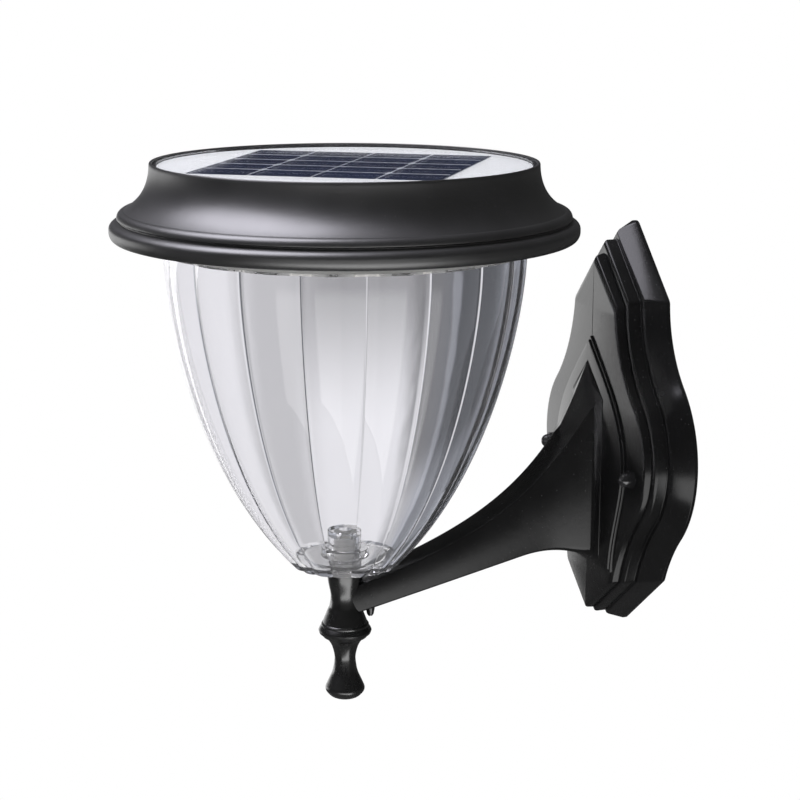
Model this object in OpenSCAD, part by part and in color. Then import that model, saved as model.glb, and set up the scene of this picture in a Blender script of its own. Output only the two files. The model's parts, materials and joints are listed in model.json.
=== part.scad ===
// Solar wall light: a fluted clear shade hangs between a cast arm and a round solar head.
// The origin is on the wall, midway between the two bracket studs. The wall is the plane
// Y = 0, the light reaches out towards -Y and +Z is up. All sizes are millimetres.

/* [Layout] */
// Distance from the wall to the upright axis of the lamp
reach = 175; // [160:1:200]
// Height of the seat on top of the stem, measured from the bracket studs
stem_top = -46.9; // [-56:0.1:-40]

/* [Wall plate] */
// Height of the upper point above the bracket studs
plate_top = 138.5; // [128:0.5:150]
// Height of the lower point, below the bracket studs
plate_bottom = -99; // [-110:0.5:-94]
// Half width where the belly is widest
belly_half = 78; // [74:0.5:86]
// Radius of the belly curve
belly_r = 62.6; // [58:0.2:66]
// Height of the centre of the belly curve
belly_z = 7.4; // [4:0.2:10]
// Half width at the narrow neck above the belly
neck_half = 41.2; // [38:0.2:44]
// Radius of the hollow curve between neck and belly
neck_r = 69; // [62:1:76]
// Half width at the narrow foot below the belly
foot_half = 40.5; // [38:0.5:43]
// Radius of the hollow curve between belly and foot
foot_r = 89; // [80:1:96]
// Fall of the upper slanted edges, per unit of width
top_fall = 1.03; // [0.9:0.01:1.15]
// Rise of the lower slanted edges, per unit of width
bottom_rise = 0.81; // [0.7:0.01:0.95]
// Depth of the bevelled base step
base_t = 12.5; // [11:0.5:14]
// Depth of the middle step
middle_t = 8; // [7:0.5:9]
// Depth of the raised boss, up to its edge
boss_t = 3.8; // [3.4:0.2:6]
// Thickness of the plate's straight outer edge
plate_edge = 2.2; // [1.6:0.2:3]
// Rounding of the plate's upper and lower points
point_round = 5; // [3:0.5:7]
// How far the base step's bevel draws in
base_bevel = 8.5; // [7:0.5:9.5]
// Flat width of each ledge between the steps
ledge_w = 2.6; // [2:0.2:3]
// How far the upright ridge stands proud of the boss edge
ridge_h = 2; // [1:0.1:2.6]
// Share of the steps' draw-in that the lower slanted edges take
low_share = 0.5; // [0.4:0.05:1]
// Wall thickness of the casting
plate_wall = 3.4; // [3:0.1:4]

/* [Wall bracket] */
// Length of the flat steel crossbar
bar_l = 124; // [116:1:128]
// Width of the crossbar
bar_w = 18; // [16:1:22]
// Thickness of the crossbar
bar_t = 2; // [1.5:0.1:3]
// Distance between the two studs that carry the plate
stud_spacing = 98; // [94:1:102]
// Diameter of the studs
stud_d = 4; // [3.5:0.1:5]
// Distance between the two wall-screw slots
slot_spacing = 60; // [54:1:66]
// Width of a wall-screw slot
slot_w = 5.2; // [4.5:0.1:6]
// End-to-end length of a wall-screw slot
slot_l = 14; // [10:0.5:16]
// Width across flats of the domed nuts
nut_af = 8.5; // [7.5:0.5:9]
// Height of a domed nut's hexagon
nut_hex_h = 3.8; // [3.2:0.2:4.4]

/* [Arm] */
// Half width of the leaf-shaped root pad
leaf_half = 42; // [38:0.5:43]
// Height of the leaf's point
leaf_top = 72; // [66:1:76]
// Height of the leaf's lower edge
leaf_bottom = -59; // [-62:0.5:-58]
// Thickness of the leaf pad
leaf_t = 2.4; // [2:0.1:3.5]
// Half thickness of the arm near the wall
arm_half_root = 10; // [9:0.5:12]
// Half thickness of the arm where it meets the stem
arm_half_tip = 7.8; // [7:0.1:8.5]
// Height of the arm's top edges on the leaf
arm_top_root = 42; // [38:0.5:48]
// Height of the arm's top edges at the stem
arm_top_tip = -59; // [-61:0.5:-57]
// Height of the arm's lower edge at the stem
arm_low_tip = -72.3; // [-74:0.1:-70]
// Rise of the arm's straight lower edge towards the wall, per unit of length
arm_low_rise = 0.2325; // [0.21:0.0025:0.25]
// Length over which the arm flares out to the leaf
flare_l = 45; // [36:1:50]
// Drop of the lower edge at the leaf, by the flare
flare_drop = 18; // [14:0.5:20]
// Growth of the arm's half thickness at the leaf, by the flare
flare_out = 4.5; // [3:0.5:8]
// Rise of the arm's crown over its top edges at the leaf, by the flare
flare_crown = 21.5; // [14:0.5:24]

/* [Stem and finial] */
// Radius of the stem at its top seat
stem_r = 10; // [9:0.2:12]
// Radius of the stem's slim waist
waist_r = 8; // [7.4:0.1:8.6]
// Radius of the collar where stem and finial meet
collar_r = 14.8; // [13.5:0.1:16]
// Radius of the finial's slim neck
finial_neck_r = 5.5; // [5.2:0.1:6.5]
// Radius of the finial's round foot
finial_foot_r = 11; // [9:0.2:12]
// Length of the stem, from its seat to the joint line
stem_l = 33; // [32.4:0.2:34]
// Length of the finial below the joint line
finial_l = 44; // [42:0.1:50]
// Diameter of the threaded rod
rod_d = 6; // [5:0.5:6]

/* [Shade] */
// Number of flutes
flutes = 18; // [12:1:24]
// How far the flutes swell out beyond the plain neck, at the top
shade_swell = 2.8; // [1.5:0.1:4]
// Radius over the flutes at the flat underside
shade_foot_r = 29; // [27:0.5:33]
// Height of the fluted body
shade_h = 176.5; // [160:0.5:190]
// How far a flute bulges out between two creases
flute_depth = 2.2; // [1:0.1:3]
// Turn of the flutes round the axis
flute_turn = 6.7; // [0:0.1:20]
// Wall thickness of the shade
shade_wall = 3; // [2.6:0.1:3.6]
// Radius of the plain round neck at the top
shade_neck_r = 95; // [92.5:0.1:95.4]
// Height of the plain round neck
shade_neck_h = 8.4; // [8:0.1:9.2]
// Thickness of the floor of the shade
shade_floor = 4; // [3.5:0.1:5]
// Thickness of the soft washer under the shade
washer_t = 1.2; // [0.8:0.1:2]

/* [Twist lock] */
// Number of locking lugs
lugs = 3; // [3:1:4]
// Width of a lug, as an angle
lug_angle = 22; // [16:1:24]
// How far the head turns between locked and free
twist = 25; // [15:1:28]
// How far a lug stands out from the shade ring
lug_out = 3; // [2.4:0.1:3.2]
// Height of a lug
lug_h = 2.6; // [2:0.1:3]
// Wall thickness of the shade ring
ring_wall = 5.6; // [5:0.1:6]

/* [Cap] */
// How far the cap's lip stands out beyond the shade's neck
cap_overhang = 30; // [27:0.5:34]
// How far the cap's upper rim is set in from its lip
rim_setback = 21.7; // [20:0.1:24]
// Height from the lip's lower edge to the panel's cover
cap_h = 39.3; // [37:0.1:44]
// How far the rim stands above the panel
rim_lip = 0.8; // [0.4:0.1:1.2]
// Wall thickness of the cap
cap_wall = 2.6; // [2.2:0.1:3]
// Height of the lip's upright band
band_h = 7.4; // [6:0.2:8]

/* [Solar panel] */
// Width of the black edge round the clear cover
seal_w = 2; // [1.6:0.1:3]
// Thickness of the clear cover
cover_t = 0.8; // [0.6:0.1:1.2]
// Thickness of the white backing disc
back_t = 2.2; // [1.6:0.1:2.6]
// Length of the block of cells, across its columns
cells_l = 133; // [110:1:136]
// Depth of the block of cells, along its columns
cells_d = 125.6; // [100:1:128]
// Number of cell columns
columns = 4; // [3:1:5]
// Gap between two columns
column_gap = 1.2; // [0.8:0.1:2]
// Number of silver lines across the columns
cross_lines = 4; // [3:1:5]
// Thickness of the silicon cells
cell_t = 0.35; // [0.25:0.05:0.5]
// Thickness of the silver ribbons
ribbon_t = 0.1; // [0.1:0.05:0.2]
// Turn of the block of cells round the axis
cells_turn = 54.6; // [0:0.1:90]

/* [Light unit] */
// Thickness of the housing's deck
deck_t = 2.5; // [2:0.1:3]
// Radius of the round LED board
board_r = 45; // [40:0.5:46]
// Thickness of the circuit boards
board_t = 1.6; // [1:0.2:2]
// Number of LEDs
leds = 12; // [8:1:16]
// Radius of the ring of LEDs
led_ring_r = 32; // [28:0.5:34]
// Depth of the diffuser below the deck
diffuser_h = 11; // [8:0.5:14]
// Diameter of a battery cell
battery_d = 18.4; // [18:0.1:18.8]
// Length of a battery cell
battery_l = 65.2; // [64:0.1:66]
// Diameter of the switch button
button_d = 8; // [7:0.1:9]
// Travel of the switch button
button_travel = 2; // [1.5:0.1:2.5]

/* [Hidden] */

fine = 96;            // segments of large round parts
small = 32;           // segments of small round parts
slip = 0.3;           // gap between neighbours that don't press together
glue = 0.15;          // gap that adhesive fills
thread_gap = 0.05;    // gap between a thread and its hole
over = 1;             // how far a cut runs past a face

axis_y = -reach;
shade_r = shade_neck_r + shade_swell;
cap_r = shade_neck_r + cap_overhang;
rim_r = cap_r - rim_setback;
housing_r = cap_r - 6;           // the round housing stands clear inside the cap's band
boss_y = -(base_t + middle_t + boss_t);
ridge_y = boss_y - ridge_h;
face_fall = ridge_h / 60;        // fall of the boss face away from its ridge
leaf_front = ridge_y - leaf_t;

shade_bottom = stem_top + washer_t;
shoulder_z = shade_bottom + shade_h;
shade_top = shoulder_z + shade_neck_h;
ring_top_t = 1;
ring_top = shade_top + ring_top_t;
ring_r = shade_neck_r + glue + ring_wall;
deck_z = ring_top + 1;
deck_top = deck_z + deck_t;
cap_bottom = deck_z - 5.6;
cover_top = cap_bottom + cap_h;
cover_bottom = cover_top - cover_t;
cells_top = cover_bottom - ribbon_t;
back_top = cells_top - cell_t;
panel_seat = back_top - back_t;
recess_r = rim_r - 1.7;
cover_r = recess_r - seal_w;
shelf_w = 13.6;                  // width of the shelf that carries the panel
shelf_r = recess_r - shelf_w;
shelf_t = 3;
joint_z = stem_top - stem_l;

// Points of an arc about a centre, from one angle to another
function arc(cx, cy, r, a0, a1, n) =
    [for (i = [0:n]) let (a = a0 + (a1 - a0) * i / n) [cx + r * cos(a), cy + r * sin(a)]];

// A point of a cubic curve with four control points
function bezier(p, t) =
    pow(1 - t, 3) * p[0] + 3 * t * pow(1 - t, 2) * p[1] + 3 * t * t * (1 - t) * p[2] + pow(t, 3) * p[3];
function bezier_points(p, n) = [for (i = [0:n]) bezier(p, i / n)];

// A smooth curve through every point of a list
function spline_point(p, i, t) =
    let (a = p[max(i - 1, 0)], b = p[i], c = p[i + 1], d = p[min(i + 2, len(p) - 1)])
    0.5 * (2 * b + (c - a) * t + (2 * a - 5 * b + 4 * c - d) * t * t
           + (3 * b - a - 3 * c + d) * t * t * t);
function spline(p, n) =
    [each [for (i = [0:len(p) - 2]) for (k = [0:n - 1]) spline_point(p, i, k / n)], p[len(p) - 1]];

function reversed(list) = [for (i = [len(list) - 1:-1:0]) list[i]];

// A closed solid through rings that all have the same number of points. Seen from the end
// that the rings lead to, their points go round clockwise.
module loft(rings) {
    n = len(rings[0]);
    last = len(rings) - 1;
    sides = [for (j = [0:last - 1]) for (i = [0:n - 1])
                 let (a = j * n + i, b = j * n + (i + 1) % n)
                 each [[a, b, b + n], [a, b + n, a + n]]];
    caps = [[for (i = [n - 1:-1:0]) i], [for (i = [0:n - 1]) last * n + i]];
    polyhedron(points = [for (ring = rings) each ring], faces = concat(sides, caps));
}

module at_lamp() { translate([0, axis_y, 0]) children(); }

// A ring or disc between two heights
module ring(r_in, r_out, z0, z1, n = fine) {
    difference() {
        translate([0, 0, z0]) cylinder(r = r_out, h = z1 - z0, $fn = n);
        if (r_in > 0) translate([0, 0, z0 - over]) cylinder(r = r_in, h = z1 - z0 + 2 * over, $fn = n);
    }
}

// A ring's stretch between two angles, both kept under a half turn
module ring_sector(r_in, r_out, z0, z1, a0, a1) {
    far = 2 * r_out;
    middle = (a0 + a1) / 2;
    intersection() {
        ring(r_in, r_out, z0, z1);
        translate([0, 0, z0 - over]) linear_extrude(z1 - z0 + 2 * over)
            polygon([[0, 0], far * [cos(a0), sin(a0)], far * [cos(middle), sin(middle)],
                     far * [cos(a1), sin(a1)]]);
    }
}

// A pan-head screw along +Z: its head rests on z = 0 and its shank runs down
module pan_screw(shank_d, shank_l, head_d, head_h) {
    difference() {
        union() {
            translate([0, 0, -shank_l]) cylinder(d = shank_d, h = shank_l + over / 2, $fn = small);
            rotate_extrude($fn = small)
                polygon([[0, 0], [head_d / 2, 0], [head_d / 2, head_h * 0.45],
                         [head_d * 0.38, head_h * 0.85], [head_d * 0.22, head_h], [0, head_h]]);
        }
        for (turn = [0, 90]) rotate(turn)
            translate([-head_d * 0.3, -head_d * 0.06, head_h * 0.45])
                cube([head_d * 0.6, head_d * 0.12, head_h]);
    }
}

// Half outline of the wall plate, drawn in by an inset, from the upper to the lower point
belly_x = belly_half - belly_r;
neck_x = neck_half + neck_r;
neck_z = belly_z + sqrt(pow(belly_r + neck_r, 2) - pow(neck_x - belly_x, 2));
foot_x = foot_half + foot_r;
foot_z = belly_z - sqrt(pow(belly_r + foot_r, 2) - pow(foot_x - belly_x, 2));
// Where a slanted edge from the centre line meets a hollow curve: its distance from the centre line
function slant_meets(cx, cz, r, z0, slope) =
    let (q = z0 - cz, k = 1 + slope * slope, b = cx - slope * q)
    (b - sqrt(b * b - k * (cx * cx + q * q - r * r))) / k;
// Half of a rounded point, from the centre line outwards; side is -1 for the upper point
function slant_point(z, side, inset) =
    let (slope = side < 0 ? top_fall : bottom_rise, r = max(point_round - inset, 0.4),
         c = z + side * r * sqrt(1 + slope * slope))
    arc(0, c, r, -side * 90, -side * (90 - atan(slope)), 3);
function plate_half(inset, share) =
    let (top = plate_top - inset * sqrt(1 + top_fall * top_fall),
         bottom = plate_bottom + share * inset * sqrt(1 + bottom_rise * bottom_rise),
         neck_a = atan2(neck_z - belly_z, neck_x - belly_x),
         foot_a = atan2(foot_z - belly_z, foot_x - belly_x),
         shoulder = slant_meets(neck_x, neck_z, neck_r + inset, top, -top_fall),
         kink = slant_meets(foot_x, foot_z, foot_r + inset, bottom, bottom_rise),
         shoulder_a = 180 + asin((neck_z - top + top_fall * shoulder) / (neck_r + inset)),
         kink_a = 180 - asin((bottom + bottom_rise * kink - foot_z) / (foot_r + inset)))
    concat(slant_point(top, -1, inset),
           arc(neck_x, neck_z, neck_r + inset, shoulder_a, 180 + neck_a, 7),
           arc(belly_x, belly_z, belly_r - inset, neck_a * 0.9, foot_a * 0.9, 12),
           arc(foot_x, foot_z, foot_r + inset, 180 + foot_a, kink_a, 5),
           reversed(slant_point(bottom, 1, inset)));
function plate_outline(inset, share) =
    let (half = plate_half(inset, share), last = len(half) - 1)
    concat(half, [for (i = [last - 1:-1:1]) [-half[i][0], half[i][1]]]);
function plate_ring(inset, y, share = low_share) =
    [for (p = plate_outline(inset, share)) [p[0], y, p[1]]];

// A ring of the open pocket behind the plate, one wall's thickness inside the outer form
function pocket_ring(inset, y) =
    plate_ring(inset + plate_wall, y > 0 ? y : y + plate_wall, (1 + low_share) / 2);

// The space in front of the boss face, which falls away gently on both sides of its ridge
module before_boss(depth, half, gap = 0) {
    translate([0, 0, -200]) linear_extrude(400)
        polygon([[0, ridge_y - gap], [half, ridge_y - gap + face_fall * half],
                 [half, ridge_y - gap + face_fall * half - depth], [0, ridge_y - gap - depth],
                 [-half, ridge_y - gap + face_fall * half - depth],
                 [-half, ridge_y - gap + face_fall * half]]);
}

middle_inset = base_bevel + ledge_w;
boss_inset = middle_inset + 1.6 + ledge_w;

module wall_plate() color([0.05, 0.05, 0.055]) {
    middle_y = -base_t;
    step_y = -(base_t + middle_t);
    difference() {
        loft([plate_ring(0, over), plate_ring(0, -plate_edge), plate_ring(base_bevel - 1.6, middle_y + 1.4),
              plate_ring(base_bevel - 0.4, middle_y + 0.3), plate_ring(base_bevel, middle_y),
              plate_ring(middle_inset, middle_y), plate_ring(middle_inset + 0.6, step_y + 1),
              plate_ring(middle_inset + 1.6, step_y), plate_ring(boss_inset, step_y),
              plate_ring(boss_inset + 1.4, boss_y + 0.8), plate_ring(boss_inset + 2.6, boss_y - 1),
              plate_ring(boss_inset + 3.2, ridge_y - 2)]);
        before_boss(plate_top / 2, plate_top);
        translate([-2 * plate_top, 0, -2 * plate_top]) cube(4 * plate_top);
        loft([pocket_ring(0, 2 * over), pocket_ring(0, -1.2 - plate_wall),
              pocket_ring(base_bevel - 0.8, middle_y - 0.4), pocket_ring(middle_inset - 0.4, middle_y - 1),
              pocket_ring(middle_inset + 1.2, step_y - 0.4), pocket_ring(boss_inset - 0.4, step_y - 1),
              pocket_ring(boss_inset + 0.6, boss_y)]);
        for (side = [-1, 1]) {
            translate([side * stud_spacing / 2, 0, 0]) rotate([90, 0, 0])
                cylinder(d = stud_d + 1, h = 40, $fn = small);
            translate([side * stud_spacing / 2, boss_y + 0.2, 0]) rotate([90, 0, 0])
                cylinder(r = nut_af * 0.58 + 1, h = 10, $fn = small);
        }
        for (z = arm_screw_z) translate([0, 0, z]) rotate([90, 0, 0])
            cylinder(d = arm_screw_d + 0.6, h = 40, $fn = small);
    }
}

// Fixings of the arm, two screws from inside the plate
arm_screw_z = [32, -34];
arm_screw_d = 5;
arm_screw_l = 12;
module arm_screws() color("silver")
    for (z = arm_screw_z) translate([0, boss_y + plate_wall, z]) rotate([-90, 0, 0])
        pan_screw(arm_screw_d, arm_screw_l, 9, 3);

module crossbar() color("silver") difference() {
    rotate([90, 0, 0]) linear_extrude(bar_t) union() {
        square([bar_l - bar_w, bar_w], center = true);
        for (side = [-1, 1]) translate([side * (bar_l - bar_w) / 2, 0]) circle(d = bar_w, $fn = small * 2);
    }
    for (side = [-1, 1]) {
        translate([side * stud_spacing / 2, over, 0]) rotate([90, 0, 0])
            cylinder(d = stud_d + 2 * thread_gap, h = bar_t + 2 * over, $fn = small);
        for (end = [-1, 1]) translate([side * slot_spacing / 2 + end * (slot_l - slot_w) / 2, over, 0])
            rotate([90, 0, 0]) cylinder(d = slot_w, h = bar_t + 2 * over, $fn = small);
        translate([side * slot_spacing / 2 - (slot_l - slot_w) / 2, -bar_t - over, -slot_w / 2])
            cube([slot_l - slot_w, bar_t + 2 * over, slot_w]);
    }
}

nut_seat_y = boss_y + 0.2;
nut_dome_r = nut_af * 0.46;
stud_tip_y = nut_seat_y - nut_hex_h - 1.5;
module bracket_studs() color("silver") for (side = [-1, 1])
    translate([side * stud_spacing / 2, -0.2, 0]) rotate([90, 0, 0])
        cylinder(d = stud_d, h = -stud_tip_y - 0.2, $fn = small);

module domed_nuts() color([0.1, 0.1, 0.11]) for (side = [-1, 1])
    translate([side * stud_spacing / 2, nut_seat_y, 0]) rotate([90, 0, 0]) difference() {
        union() {
            cylinder(d = nut_af / cos(30), h = nut_hex_h, $fn = 6);
            rotate_extrude($fn = small) polygon(concat(
                [[0, nut_hex_h / 2], [nut_dome_r, nut_hex_h / 2]],
                arc(0, nut_hex_h + 1, nut_dome_r, 0, 90, 8)));
        }
        translate([0, 0, -over]) cylinder(d = stud_d + 2 * thread_gap, h = nut_hex_h + 2.7 + over, $fn = small);
    }

// The arm: a leaf pad on the boss, a tapering beam and the stem that carries the shade
leaf_upper = [[0, leaf_top], [leaf_half * 0.52, leaf_top * 0.67], [leaf_half, leaf_top * 0.42], [leaf_half, 2]];
leaf_lower = [[leaf_half, 2], [leaf_half, -16], [leaf_half * 0.74, -34], [leaf_half * 0.7, leaf_bottom]];
module leaf(depth, share) {
    half = concat(bezier_points(leaf_upper, 10), [for (i = [1:6]) bezier(leaf_lower, i / 6)]);
    outline = concat(half, [for (p = reversed(half)) if (p[0] > 0) [-p[0], p[1]]]);
    intersection() {
        rotate([90, 0, 0]) linear_extrude(-2 * leaf_front) scale([share, share]) polygon(outline);
        before_boss(depth, leaf_half + 5);
    }
}
beam_start = ridge_y - 0.5;
beam_end = axis_y + 1;
beam_top = [[beam_start, arm_top_root], [beam_start - 33.3, arm_top_root - 57.3],
            [axis_y + 84, arm_top_tip + 23.6], [beam_end - 2, arm_top_tip]];
// Share of the flare at a distance from the wall, from 0 at its start to 1 on the leaf
function flare(y) = pow(max(0, (y - beam_start + flare_l) / flare_l), 2);
function beam_low(y) = arm_low_tip + arm_low_rise * (y - axis_y - 10) - flare_drop * flare(y);
function beam_half(y) =
    let (back = 1 - (y - axis_y) / (reach + ridge_y))
    arm_half_tip + (arm_half_root - arm_half_tip) * (1 - back * back) + flare_out * pow(flare(y), 2);
function beam_ring(y, top) =
    let (h = beam_half(y), low = beam_low(y), round_low = 1.2 + 6 * flare(y), round_top = 0.8,
         crown = top + flare_crown * flare(y))
    [for (p = concat(
        [[0, crown + 0.05]],
        arc(h - round_top, top - round_top, round_top, 80, 0, 3),
        arc(h - round_low, low + round_low, round_low, 0, -90, 5),
        arc(round_low - h, low + round_low, round_low, -90, -180, 5),
        arc(round_top - h, top - round_top, round_top, 180, 100, 3))) [p[0], y, p[1]]];
stem_profile = spline([[stem_r, stem_top], [stem_r * 0.96, stem_top - 8], [waist_r, stem_top - 17],
                       [waist_r + 0.6, stem_top - 23], [waist_r + 1.9, stem_top - 26.4],
                       [collar_r - 2.3, joint_z]], 5);
module arm() color([0.05, 0.05, 0.055]) difference() {
    union() {
        leaf(leaf_t * 0.5, 1);
        leaf(leaf_t, 0.955);
        loft([for (i = [0:18]) let (p = bezier(beam_top, i / 18)) beam_ring(p[0], p[1])]);
        at_lamp() rotate_extrude($fn = fine / 2)
            polygon(concat([[0, stem_top]], stem_profile, [[0, joint_z]]));
    }
    at_lamp() translate([0, 0, joint_z - over]) cylinder(d = rod_d + slip, h = stem_l + 2 * over, $fn = small);
    for (z = arm_screw_z) translate([0, boss_y + plate_wall, z]) rotate([90, 0, 0])
        cylinder(d = arm_screw_d + 2 * thread_gap, h = arm_screw_l + 0.5, $fn = small);
    translate([0, lock_y, beam_low(lock_y) - over]) cylinder(d = lock_d + 2 * thread_gap, h = lock_l, $fn = small);
    translate([0, lock_y, beam_low(lock_y) - 3]) cylinder(d = 6.2, h = 3 + lock_seat, $fn = small);
}

// Lock screw under the arm, just behind the stem
lock_y = axis_y + 15;
lock_d = 4;
lock_l = 10;
lock_seat = 0.5;
lock_head_h = 7.6;
module arm_lock_screw() color("silver")
    translate([0, lock_y, beam_low(lock_y) + lock_seat]) rotate([180, 0, 0])
        pan_screw(lock_d, lock_l - 2.5, 5, lock_head_h);

module finial() color([0.04, 0.04, 0.045]) {
    z = joint_z;
    scale_l = finial_l / 45;
    profile = [[collar_r - 2.2, z], [collar_r - 1.5, z - 1], [collar_r - 1.7, z - 1.8],
               [collar_r - 0.5, z - 3.4], [collar_r, z - 4.6], [collar_r - 0.6, z - 6.2],
               [collar_r - 2.1, z - 7.3], [collar_r - 2.6, z - 8.2], [collar_r - 3.6, z - 8.7]];
    neck = spline([[collar_r - 3.6, z - 8.7], [9.2, z - 10.6 * scale_l], [7, z - 14.2 * scale_l],
                   [finial_neck_r, z - 19.5 * scale_l], [finial_neck_r, z - 23.5 * scale_l],
                   [finial_neck_r + 1.3, z - 29.5 * scale_l],
                   [finial_foot_r - 1.4, z - 35.5 * scale_l], [finial_foot_r, z - 39.4 * scale_l],
                   [finial_foot_r - 1.3, z - 42.2 * scale_l],
                   [finial_foot_r - 4.6, z - 44.6 * scale_l], [0, z - finial_l]], 4);
    at_lamp() difference() {
        rotate_extrude($fn = fine / 2) polygon(concat([[0, z]], profile, [for (i = [1:len(neck) - 1]) neck[i]]));
        translate([0, 0, z - rod_in_finial]) cylinder(d = rod_d + 2 * thread_gap, h = rod_in_finial + over, $fn = small);
    }
}

// The rod ties finial, stem and shade together: its upper end screws into the shade's insert
rod_in_finial = 18;
insert_bottom = shade_bottom + 3;
insert_h = 13;
insert_r = rod_d / 2 + 3.2;
module stem_rod() color("silver") at_lamp()
    translate([0, 0, joint_z - rod_in_finial + slip])
        cylinder(d = rod_d, h = stem_l + rod_in_finial + washer_t + 12, $fn = small);

module shade_insert() color("silver") at_lamp() translate([0, 0, insert_bottom]) rotate_extrude($fn = small * 2)
    polygon(concat(
        [[rod_d / 2 + thread_gap, 0], [insert_r, 0]],
        [for (z = [insert_h * 0.25, insert_h * 0.5, insert_h * 0.75])
            each [[insert_r, z - 0.9], [insert_r - 0.8, z - 0.5], [insert_r - 0.8, z + 0.5], [insert_r, z + 0.9]]],
        [[insert_r, insert_h], [rod_d / 2 + thread_gap, insert_h]]));

module shade_washer() color([0.2, 0.2, 0.2]) at_lamp()
    ring(rod_d / 2 + slip, stem_r - 0.6, stem_top, shade_bottom, fine / 2);

// The clear shade: a fluted bowl with a plain round neck and a stepped boss in its floor
bowl = [[shade_foot_r, 0], [shade_r * 0.818, shade_h * 0.287], [shade_r * 1.003, shade_h * 0.805],
        [shade_r, shade_h]];
flute_steps = 4;
// Radius at an angle: each flute is a shallow arc between two sharp creases
function flute_r(r, turn) =
    let (pitch = 360 / flutes, u = 2 * (turn / pitch - floor(turn / pitch)) - 1)
    r - flute_depth * (0.45 + 0.55 * r / shade_r) * u * u;
function flute_ring(r, z) =
    [for (i = [0:flutes * flute_steps - 1])
        let (turn = -360 * i / (flutes * flute_steps), rr = flute_r(r, turn))
        [rr * cos(turn + flute_turn), rr * sin(turn + flute_turn), z]];
boss_steps = [[24, 1.6], [14, 6], [insert_r + 3.4, 16]];
module shade() color([0.8, 0.85, 0.88, 0.35]) at_lamp() translate([0, 0, shade_bottom]) difference() {
    union() {
        difference() {
            loft([for (i = [0:16]) let (p = bezier(bowl, i / 16)) flute_ring(p[0], p[1])]);
            loft([for (i = [0:15]) let (p = bezier(bowl, 0.035 + i * 0.936 / 15))
                flute_ring(p[0] - shade_wall, max(p[1], shade_floor))]);
        }
        translate([0, 0, shade_h - 1]) cylinder(r = shade_neck_r, h = shade_neck_h + 1, $fn = fine);
        for (step = boss_steps) translate([0, 0, 1])
            cylinder(r = step[0], h = shade_floor + step[1] - 1, $fn = fine);
    }
    translate([0, 0, shade_h - shade_wall - 1])
        cylinder(r = shade_neck_r - shade_wall, h = shade_wall + shade_neck_h + 2, $fn = fine);
    translate([0, 0, -over]) cylinder(d = rod_d + slip, h = 2 * over + insert_bottom - shade_bottom, $fn = small);
    translate([0, 0, insert_bottom - shade_bottom]) cylinder(r = insert_r + thread_gap, h = insert_h, $fn = small);
}

// Twist lock: the ring on the shade's neck has lugs, the housing's skirt has their slots
lug_top = ring_top - 0.2;
skirt_in = ring_r + 0.5;
slot_r = ring_r + lug_out + 0.4;
skirt_r = slot_r + 2.6;
skirt_bottom = deck_z - 7;
module shade_ring() color([0.93, 0.93, 0.92]) at_lamp() {
    ring(shade_neck_r + glue, ring_r, shoulder_z, ring_top);
    ring(shade_neck_r - shade_wall, shade_neck_r + glue + over / 2, shade_top, ring_top);
    for (k = [0:lugs - 1]) ring_sector(ring_r - over, ring_r + lug_out, lug_top - lug_h, lug_top,
                                       k * 360 / lugs, k * 360 / lugs + lug_angle);
}

module light_housing() color([0.93, 0.93, 0.92]) at_lamp() difference() {
    union() {
        ring(0, housing_r, deck_z, deck_top);
        ring(skirt_in, skirt_r, skirt_bottom, deck_z + over / 2);
        for (x = [-1, 1], y = [-1, 1]) translate([x * post_x, post_y + y * post_dy, deck_top - over / 2])
            cylinder(r = 3, h = post_h + over / 2, $fn = small);
    }
    // The lug's track, and the mouth through which it enters when the head is free
    for (k = [0:lugs - 1]) {
        start = k * 360 / lugs;
        ring_sector(skirt_in - over, slot_r, lug_top - lug_h - slip, lug_top + slip,
                    start - twist - 1, start + lug_angle + 1);
        ring_sector(skirt_in - over, slot_r, skirt_bottom - over, lug_top + slip,
                    start - twist - 1, start - twist + lug_angle + 1);
    }
    ring(seal_in - slip, seal_out + slip, deck_z - over, deck_z + seal_groove);
    for (a = housing_screw_a) rotate(a) translate([screw_ring_r, 0, deck_z - over])
        cylinder(d = 3.6, h = deck_t + 2 * over, $fn = small);
    translate([0, button_y, deck_z - over]) cylinder(d = button_d + 2 * run_gap, h = deck_t + 2 * over, $fn = small);
    translate([0, led_lead_y, deck_z - over]) cylinder(d = 5.4, h = deck_t + 2 * over, $fn = small);
    for (x = [-1, 1], y = [-1, 1]) translate([x * post_x, post_y + y * post_dy, deck_z + 0.8])
        cylinder(d = 2.2, h = 20, $fn = small);
    for (a = board_screw_a) rotate(a) translate([board_screw_r, 0, deck_z - over])
        cylinder(d = 2.6, h = over + 2, $fn = small);
}

seal_in = shade_neck_r - 1.5;
seal_out = shade_neck_r + 4;
seal_groove = 1;
module head_seal() color([0.25, 0.25, 0.26]) at_lamp()
    ring(seal_in, seal_out, ring_top + slip, deck_z + seal_groove);

// The cap: a coved shell with a rolled lip and a recess for the panel
function cap_outer() =
    let (b = cap_bottom, r = cap_r)
    concat(arc(r - 2, b + 2, 2, -90, 0, 4),
           [for (a = [0:15:75]) [r - 4 + 4 * cos(a), b + band_h + 5.4 * sin(a)]],
           [[r - 4.4, b + band_h + 5.5], [r - 5.2, b + band_h + 5.9]],
           bezier_points(cove, 12),
           [[rim_r - 0.3, cover_top + rim_lip]]);
cove = [[cap_r - 5.7, cap_bottom + band_h + 7.8], [cap_r - 14, cap_bottom + cap_h / 2],
        [rim_r + 0.3, cap_bottom + cap_h * 0.64], [rim_r, cover_top]];
inner_cove = [[cap_r - 8.6, cap_bottom + band_h + 4.9], [cap_r - 16.5, cap_bottom + cap_h / 2 - 2.6],
              [rim_r - 2.3, cap_bottom + cap_h * 0.64 - 2], [rim_r - cap_wall, panel_seat - shelf_t]];
boss_r = 4;
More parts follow.
